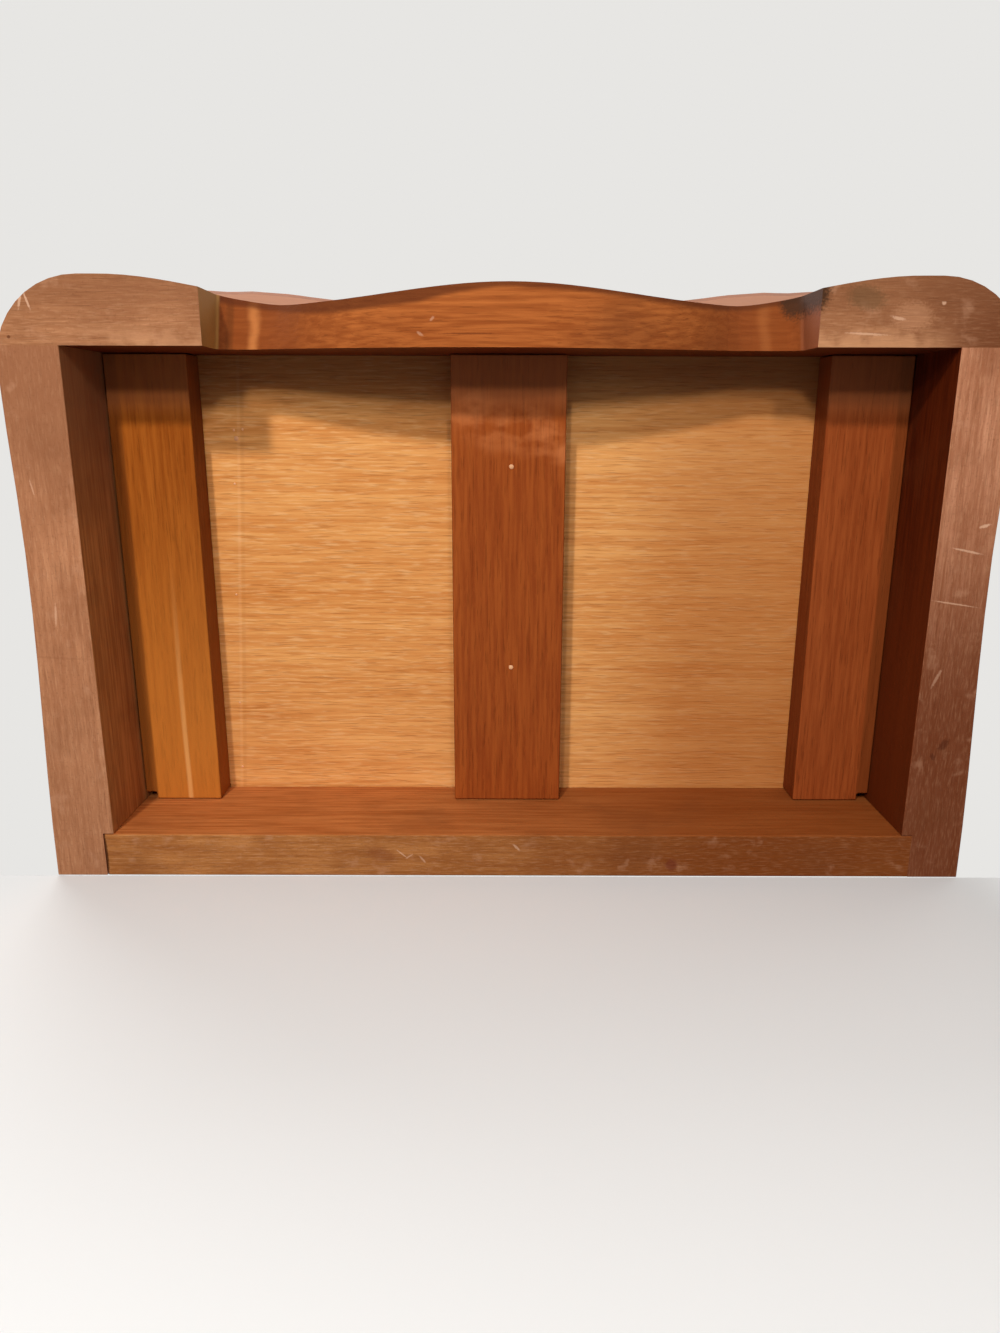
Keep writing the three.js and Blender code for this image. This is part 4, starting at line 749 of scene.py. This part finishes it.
def pad(node, rim=0.0014, step=0.003):
    """A thin pad with a rounded rim and a slightly uneven top, in the space of its plain solid."""
    low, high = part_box(node)
    xs = [low.x + value for value in spaced(high.x - low.x, rim, step)]
    ys = [low.y + value for value in spaced(high.y - low.y, rim, step)]
    verts = []
    for y in ys:
        for x in xs:
            edge = min(x - low.x, high.x - x, y - low.y, high.y - y)
            round_off = math.sqrt(max(0.0, 1 - (1 - min(edge / rim, 1)) ** 2))
            dimple = dimple_depth * (noise.noise(Vector((x, y, 0)) * dimples_per_metre) + 1) / 2
            verts.append((x, y, low.z + (high.z - low.z) * round_off * (1 - dimple)))
    wide = len(xs)
    faces = []
    for j in range(len(ys) - 1):
        for i in range(wide - 1):
            a = j * wide + i
            faces.append((a, a + 1, a + wide + 1, a + wide))
    last_row = (len(ys) - 1) * wide
    rim_loop = list(range(wide))
    rim_loop += [j * wide + wide - 1 for j in range(1, len(ys))]
    rim_loop += [last_row + i for i in range(wide - 2, -1, -1)]
    rim_loop += [j * wide for j in range(len(ys) - 2, 0, -1)]
    faces.append(tuple(reversed(rim_loop)))
    return cloth_piece(node + "_cloth", verts, faces, [node], frame["nodes"][node]["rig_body"])


pad("well_lining")
pad("side_well_lining")

# Ring rolls: two velvet-covered foam bolsters side by side. Rings are pushed into the slit between
# them. The cloth is drawn in at the ends and lies in shallow ripples along the top.
drawn_end = 0.0125
lengthways_steps = 44
arch_steps = 24
end_fullness = 0.8
swell = 0.2
swell_length = 0.014
ripple_height = 0.022
ripples_per_metre = 70
pucker_depth = 0.03
pucker_length = 0.009
puckers = 14
foot_share = 0.93
flank_share = 0.985
flank_taper = 0.03
flank_steps = (0.35, 0.8, 1.0)
hub_inset = 0.0004


def bolster(node, seed):
    """A long roll in the space of its plain solid: an arch on straight flanks, with a fan at each end."""
    low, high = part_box(node)
    half, length = (high.x - low.x) / 2, high.y - low.y
    middle, spring = (low.x + high.x) / 2, high.z - (high.x - low.x) / 2
    end_steps = (0, 0.0006, 0.002, 0.0045, 0.008, drawn_end)
    even = length - 2 * drawn_end
    stations = [*end_steps]
    stations += [drawn_end + even * i / lengthways_steps for i in range(1, lengthways_steps)]
    stations += [length - value for value in reversed(end_steps)]
    rings = []
    for along in stations:
        from_end = min(along, length - along)
        fullness = end_fullness + swell * math.sin(min(from_end / swell_length, 1) * math.pi / 2)
        at_end = max(0.0, 1 - from_end / pucker_length)
        ring = []
        for i in range(arch_steps + 1):
            angle = math.pi * i / arch_steps
            where = Vector((math.cos(angle) * 1.4, along * ripples_per_metre, seed))
            ripple = ripple_height * (noise.noise(where) + 1) / 2
            pucker = pucker_depth * (1 + math.cos(angle * puckers)) / 2 * at_end
            radius = half * (fullness - ripple - pucker)
            ring.append((middle + radius * math.cos(angle), along, spring + radius * math.sin(angle)))
        waist = half * fullness
        foot = waist * foot_share
        below = spring - low.z
        down_left = [(-1, step) for step in flank_steps]
        up_right = [(1, step) for step in reversed(flank_steps)]
        for side, step in down_left + up_right:
            width = foot if step == 1.0 else waist * (1 - flank_taper * step) * flank_share
            ring.append((middle + side * width, along, spring - below * step))
        rings.append(ring)
    count = len(rings[0])
    verts = [(x, low.y + y, z) for ring in rings for x, y, z in ring]
    faces = []
    for k in range(len(rings) - 1):
        for i in range(count):
            a, b = k * count + i, k * count + (i + 1) % count
            faces.append((a, b, b + count, a + count))
    for first, end, inward in ((0, low.y, hub_inset), ((len(rings) - 1) * count, high.y, -hub_inset)):
        hub = len(verts)
        verts.append((middle, end + inward, (low.z + high.z) / 2))
        faces += [(first + i, first + (i + 1) % count, hub) for i in range(count)]
    return cloth_piece(node + "_cloth", verts, faces, [node], "case")


bolster("ring_roll_outer", 1.0)
bolster("ring_roll_inner", 4.0)

# Tray: a thin-walled lift-out tray with finger notches, one long and two short dividers, and a velvet
# pad in each of its four places.
for node in ("tray", "tray_long_divider"):
    eased(node, 0.0004, inner_along_x)
for node in ("tray_short_divider_left", "tray_short_divider_right"):
    eased(node, 0.0004, inner_along_y)
for node in ("tray_pad_back", "tray_pad_left", "tray_pad_middle", "tray_pad_right"):
    pad(node)

# Movement: brass plates, drum, cylinder and wheels, with a steel comb, arbors and worm. The plates are
# screwed to the bedplate through their feet.
plate_brass = metal("plate_brass", tone(226, 192, 118), tone(188, 146, 78), 0.24)
wheel_brass = metal("wheel_brass", tone(232, 196, 112), tone(196, 152, 80), 0.2, "Y")
bright_steel = metal("bright_steel", tone(214, 216, 220), tone(160, 162, 168), 0.2)
blue_steel = metal("blued_spring", tone(96, 108, 140), tone(60, 66, 92), 0.28)
for node, width in (
    ("bedplate", 0.0003),
    ("barrel_bridge", 0.0002),
    ("left_bracket", 0.0002),
    ("governor_frame", 0.0002),
):
    eased(node, width, plate_brass)
for node, width in (
    ("barrel_drum", 0.0001),
    ("barrel_cap", 0.0001),
    ("music_cylinder", 0),
    ("cylinder_wheel", 0.00006),
    ("worm_wheel", 0.00005),
    ("governor_fly", 0.00008),
):
    eased(node, width, wheel_brass)
for node, width in (
    ("comb", 0.00006),
    ("comb_screw_left", 0.0001),
    ("comb_screw_middle", 0.0001),
    ("comb_screw_right", 0.0001),
    ("cylinder_arbor", 0.00006),
    ("second_arbor", 0.00006),
    ("worm_shaft", 0),
    ("winding_arbor", 0.0002),
    ("stop_wire", 0.0002),
):
    eased(node, width, bright_steel)
eased("mainspring", 0, blue_steel)

# Winding key: a cast brass butterfly key pressed on the winding arbor above the cover.
key_brass = metal("key_brass", tone(222, 184, 104), tone(170, 126, 62), 0.3)
eased("winding_key", 0.0005, key_brass)

# Movement cover: a clear plastic plate over the movement, resting on the partitions and the cleat, so
# that the cylinder and comb can be watched while they play.
cover_plastic, shader, place = surface("clear_plastic", IOR=1.49, Specular_IOR_Level=0.5)
shader.inputs["Base Color"].default_value = tone(120, 132, 134)
haze = place.noise(40, 3).within(0.45, 0.75)
feed(shader, Alpha=0.09 + haze * 0.04, Roughness=0.04 + haze * 0.05)
eased("movement_cover", 0.0003, cover_plastic)

# Lid: one thick board with a moulded edge of bead, step, ogee and round, varnished and polished, with
# its grain from side to side. Underneath it is routed for a mirror.
lid_finish, shader, place = surface("lid_wood", Specular_IOR_Level=0.35, Coat_Roughness=0.18)
lid_colour, relief = grained(place, "X", tone(154, 80, 46), tone(104, 44, 22), 17.5)
cathedral = place.moved(scale=(0.16, 1, 1), shift=(0.4, 0, 0)).noise(26, 3, 1.2)
rings = (cathedral * 26).math("SINE").within(0.3, 0.95)
lid_colour = (rings * 0.3).mix(lid_colour, tone(92, 38, 20))

# The underside of its overhang is painted paler than the rest: a painted highlight.
underside_highlight = 1 - place.node("NewGeometry", {}, {}, 1).part("Z").within(-0.9, -0.5)
between_sides = 1 - place.part("X").math("ABSOLUTE").within(0.128, 0.132)
beyond_case = 1 - between_sides * place.part("Y").within(-0.074, -0.072)
lid_colour = (underside_highlight * beyond_case * 0.75).mix(lid_colour, tone(216, 164, 134))
polish = place.noise(35, 3).within(0.4, 0.7)
feed(shader, Base_Color=lid_colour, Roughness=0.3 + polish * 0.05, Coat_Weight=0.32 - polish * 0.04)
feed(shader, Normal=relief.bump(0.00006, 0.5))


front_moulding = -0.078
shoulder_in = 0.0028
hollow_out = 0.0006
middle_out = 0.0012


def ramp(value, low, high):
    """0 below low and 1 above high, with a soft rise between them."""
    share = min(max((value - low) / (high - low), 0.0), 1.0)
    return share * share * (3 - 2 * share)


def drawn_in(co):
    """The lid's front edge swings out to its corners later, and more gently, than the case below it."""
    if co.y > front_moulding:
        return co
    far = abs(co.x)
    inward = shoulder_in * (ramp(far, 0.088, 0.110) - ramp(far, 0.122, 0.160))
    outward = hollow_out * (ramp(far, 0.060, 0.074) - ramp(far, 0.080, 0.090))
    at_crest = middle_out * (1 - ramp(far, 0.0, 0.055))
    return Vector((co.x, co.y + inward - outward - at_crest, co.z))


eased("lid_panel", 0.0005, lid_finish, shaped=drawn_in)

# Mirror: silvered glass in the lid, held by a mat of board covered in the same velvet.
mirror_glass, shader, place = surface("mirror_glass", Metallic=1.0)
ageing = place.noise(30, 4).within(0.62, 0.82)
feed(shader, Base_Color=ageing.mix(tone(236, 240, 240), tone(214, 216, 212)), Roughness=0.02 + ageing * 0.1)
eased("lid_mirror", 0.0003, mirror_glass)

mat_low, mat_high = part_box("mirror_mat")
mat_border = 0.0157
mat_rim = 0.0012
mat_offsets = spaced(mat_border, mat_rim, 0.0018)
steps_per_side = 24
mat_verts = []
mat_faces = []


def mat_loop(inset, height):
    """One rectangular loop of the mat, as points from corner to corner."""
    x0, x1 = mat_low.x + inset, mat_high.x - inset
    y0, y1 = mat_low.y + inset, mat_high.y - inset
    corners = [(x0, y0), (x1, y0), (x1, y1), (x0, y1)]
    loop = []
    for (ax, ay), (bx, by) in zip(corners, corners[1:] + corners[:1]):
        for i in range(steps_per_side):
            t = i / steps_per_side
            loop.append((ax + (bx - ax) * t, ay + (by - ay) * t, height))
    return loop


thickness = mat_high.z - mat_low.z
for inset in mat_offsets:
    edge = min(inset, mat_border - inset)
    round_off = math.sqrt(max(0.0, 1 - (1 - min(edge / mat_rim, 1)) ** 2))
    mat_verts += mat_loop(inset, mat_high.z - thickness * (0.05 + 0.95 * round_off))
for inset in (mat_border, 0.0):
    mat_verts += mat_loop(inset, mat_high.z)
loop_size = 4 * steps_per_side
loop_count = len(mat_offsets) + 2
for k in range(loop_count):
    for i in range(loop_size):
        here, there = k * loop_size, (k + 1) % loop_count * loop_size
        following = (i + 1) % loop_size
        mat_faces.append((here + i, here + following, there + following, there + i))
cloth_piece("mirror_mat_cloth", mat_verts, mat_faces, ["mirror_mat"], "lid")

# Hinges: two brass butt hinges let into the back board and the lid, with three small slotted screws in
# each leaf.
hinge_brass = metal("hinge_brass", tone(214, 174, 96), tone(164, 120, 58), 0.28)
screw_shares = (0.17, 0.5, 0.83)
screw_margin = 0.0034
screw_stagger = 0.002
case_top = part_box("back_board")[1].z
lid_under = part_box("lid_panel")[0].z
for side in ("left", "right"):
    eased(side + "_hinge_case_leaf", 0.0002, hinge_brass)
    eased(side + "_hinge_lid_leaf", 0.0002, hinge_brass)
    eased(side + "_hinge_pin", 0.0002, bright_steel)
    leaf_low, leaf_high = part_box(side + "_hinge_case_leaf")
    across = [leaf_low.x + (leaf_high.x - leaf_low.x) * share for share in screw_shares]
    screw_y = leaf_low.y + screw_margin
    places = [(x, screw_y + (screw_stagger if i == 1 else 0), case_top) for i, x in enumerate(across)]
    sizes = (0.0016, 0.0001, hinge_brass, "hinge_brass")
    driven(side + "_case_screws", places, *sizes, "case", True, (0, 0, 0.6))
    places = [(x, y, lid_under) for x, y, _ in places]
    driven(side + "_lid_screws", places, *sizes, "lid", True, (math.pi, 0, 0.4))

# Floor, table and light: a pale floor for the box on its feet, and a pale table behind the underside,
# where the box stands on its back board. Three small lamps light the underside, each with its own
# shadow edge on the plywood, and three wide ones light the outside.
pale = (0.80, 0.79, 0.77, 1.0)


def plane(name, corners, build):
    mesh = bpy.data.meshes.new(name)
    mesh.from_pydata(corners, [], [(0, 1, 2, 3)])
    made = bpy.data.materials.new(name + "_paint")
    made.use_nodes = True
    tree = made.node_tree
    tree.nodes.clear()
    out = tree.nodes.new("ShaderNodeOutputMaterial")
    start = Field(tree, tree.nodes.new("ShaderNodeTexCoord").outputs["Object"])
    tree.links.new(build(start).socket, out.inputs["Surface"])
    mesh.materials.append(made)
    piece = bpy.data.objects.new(name, mesh)
    bpy.context.scene.collection.objects.link(piece)
    piece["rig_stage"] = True
    return piece


def seen_rays(tree):
    """1 for rays from the camera and for those that metal and glass send out, and 0 for light."""
    rays = tree.nodes.new("ShaderNodeLightPath")
    camera, glossy, through = (
        Field(tree, rays.outputs[name])
        for name in ("Is Camera Ray", "Is Glossy Ray", "Is Transmission Ray")
    )
    return camera.math("MAXIMUM", glossy).math("MAXIMUM", through)


def fading(start, blank):
    """Pale paint that turns into the plain background where blank is 1, and lets light pass."""
    paint = start.node("BsdfDiffuse", {}, {"Color": pale})
    glow = start.node("Emission", {}, {"Color": pale, "Strength": 1.0})
    clear = start.node("BsdfTransparent", {}, {})
    shown = start.node("MixShader", {}, {0: blank, 1: paint, 2: glow})
    behind = start.node("NewGeometry", {}, {}, 6)
    visible = seen_rays(start.tree) * (1 - behind)
    return start.node("MixShader", {}, {0: visible, 1: clear, 2: shown})


def floor_paint(start):
    away = start.node("VectorMath", {"operation": "LENGTH"}, {0: start}, 1)
    return fading(start, away.within(0.32, 0.75))


def table_paint(start):
    x, z = start.part("X").math("ABSOLUTE"), start.part("Z")
    beside = x.within(0.15, 0.19) * z.within(-0.1, 0.0)
    sides = x.within(0.22, 0.5)
    near = 1 - z.within(-0.5, -0.25)
    return fading(start, beside.math("MAXIMUM", sides).math("MAXIMUM", near))


ground = 0.0
table_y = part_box("back_board")[1].y + 0.0002
plane("floor", [(-3, -3, ground), (3, -3, ground), (3, 3, ground), (-3, 3, ground)], floor_paint)
plane("table", [(-2, table_y, -2), (2, table_y, -2), (2, table_y, 0), (-2, table_y, 0)], table_paint)

world = bpy.data.worlds.new("studio")
bpy.context.scene.world = world
world.use_nodes = True
tree = world.node_tree
background = tree.nodes["Background"]
dim = (0.22, 0.22, 0.22, 1.0)
world_colour = seen_rays(tree).mix(dim, pale)
tree.links.new(world_colour.socket, background.inputs["Color"])
background.inputs["Strength"].default_value = 1.0


def lamp(name, place, target, size, watts, mirrored=True):
    """A soft round lamp that shines from its place on the target, and may be mirrored in the varnish."""
    data = bpy.data.lights.new(name, "AREA")
    data.shape = "DISK"
    data.size = size
    data.energy = watts
    piece = bpy.data.objects.new(name, data)
    piece.location = place
    away = Vector(place) - Vector(target)
    piece.rotation_euler = away.to_track_quat("Z", "Y").to_euler()
    piece.visible_camera = False
    piece.visible_glossy = mirrored
    bpy.context.scene.collection.objects.link(piece)


recess = (0.0, 0.0, 0.043)
lamp("under_high", (-0.201, -0.490, -0.557), recess, 0.05, 3.35, False)
lamp("under_middle", (0.081, -0.362, -0.557), recess, 0.05, 0.75, False)
lamp("under_low", (-0.100, -0.300, -0.557), recess, 0.05, 0.95, False)
middle = (0.0, 0.0, 0.06)
lamp("key", (-0.49, -0.81, 0.95), middle, 1.1, 10)
lamp("side", (1.0, -0.2, 0.86), middle, 1.0, 4.5)
lamp("rear", (-0.2, 1.03, 0.99), middle, 1.1, 5)

# Camera: level with the underside, looking into it and a little down towards the back board.
pitch = math.radians(14.90)
roll = math.radians(0.144)
eye = (-0.0027, -0.05073, -0.2898)
focal_pixels = 930
image_height = 1333
sensor = 36
forward = Vector((0, math.sin(pitch), math.cos(pitch)))
up = Vector((0, -math.cos(pitch), math.sin(pitch)))
right = Vector((1, 0, 0))
right, up = (
    math.cos(roll) * right + math.sin(roll) * up,
    math.cos(roll) * up - math.sin(roll) * right,
)
data = bpy.data.cameras.new("camera")
data.sensor_width = sensor
data.lens = focal_pixels / image_height * sensor
camera = bpy.data.objects.new("camera", data)
turned = Matrix((right, up, -forward)).transposed().to_4x4()
camera.matrix_world = Matrix.Translation(eye) @ turned
bpy.context.scene.collection.objects.link(camera)
bpy.context.scene.camera = camera
bpy.context.scene.view_settings.view_transform = "Standard"

low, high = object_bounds()
sizes = {"cad": [list(cad_low), list(cad_high)], "visual": [list(low), list(high)]}
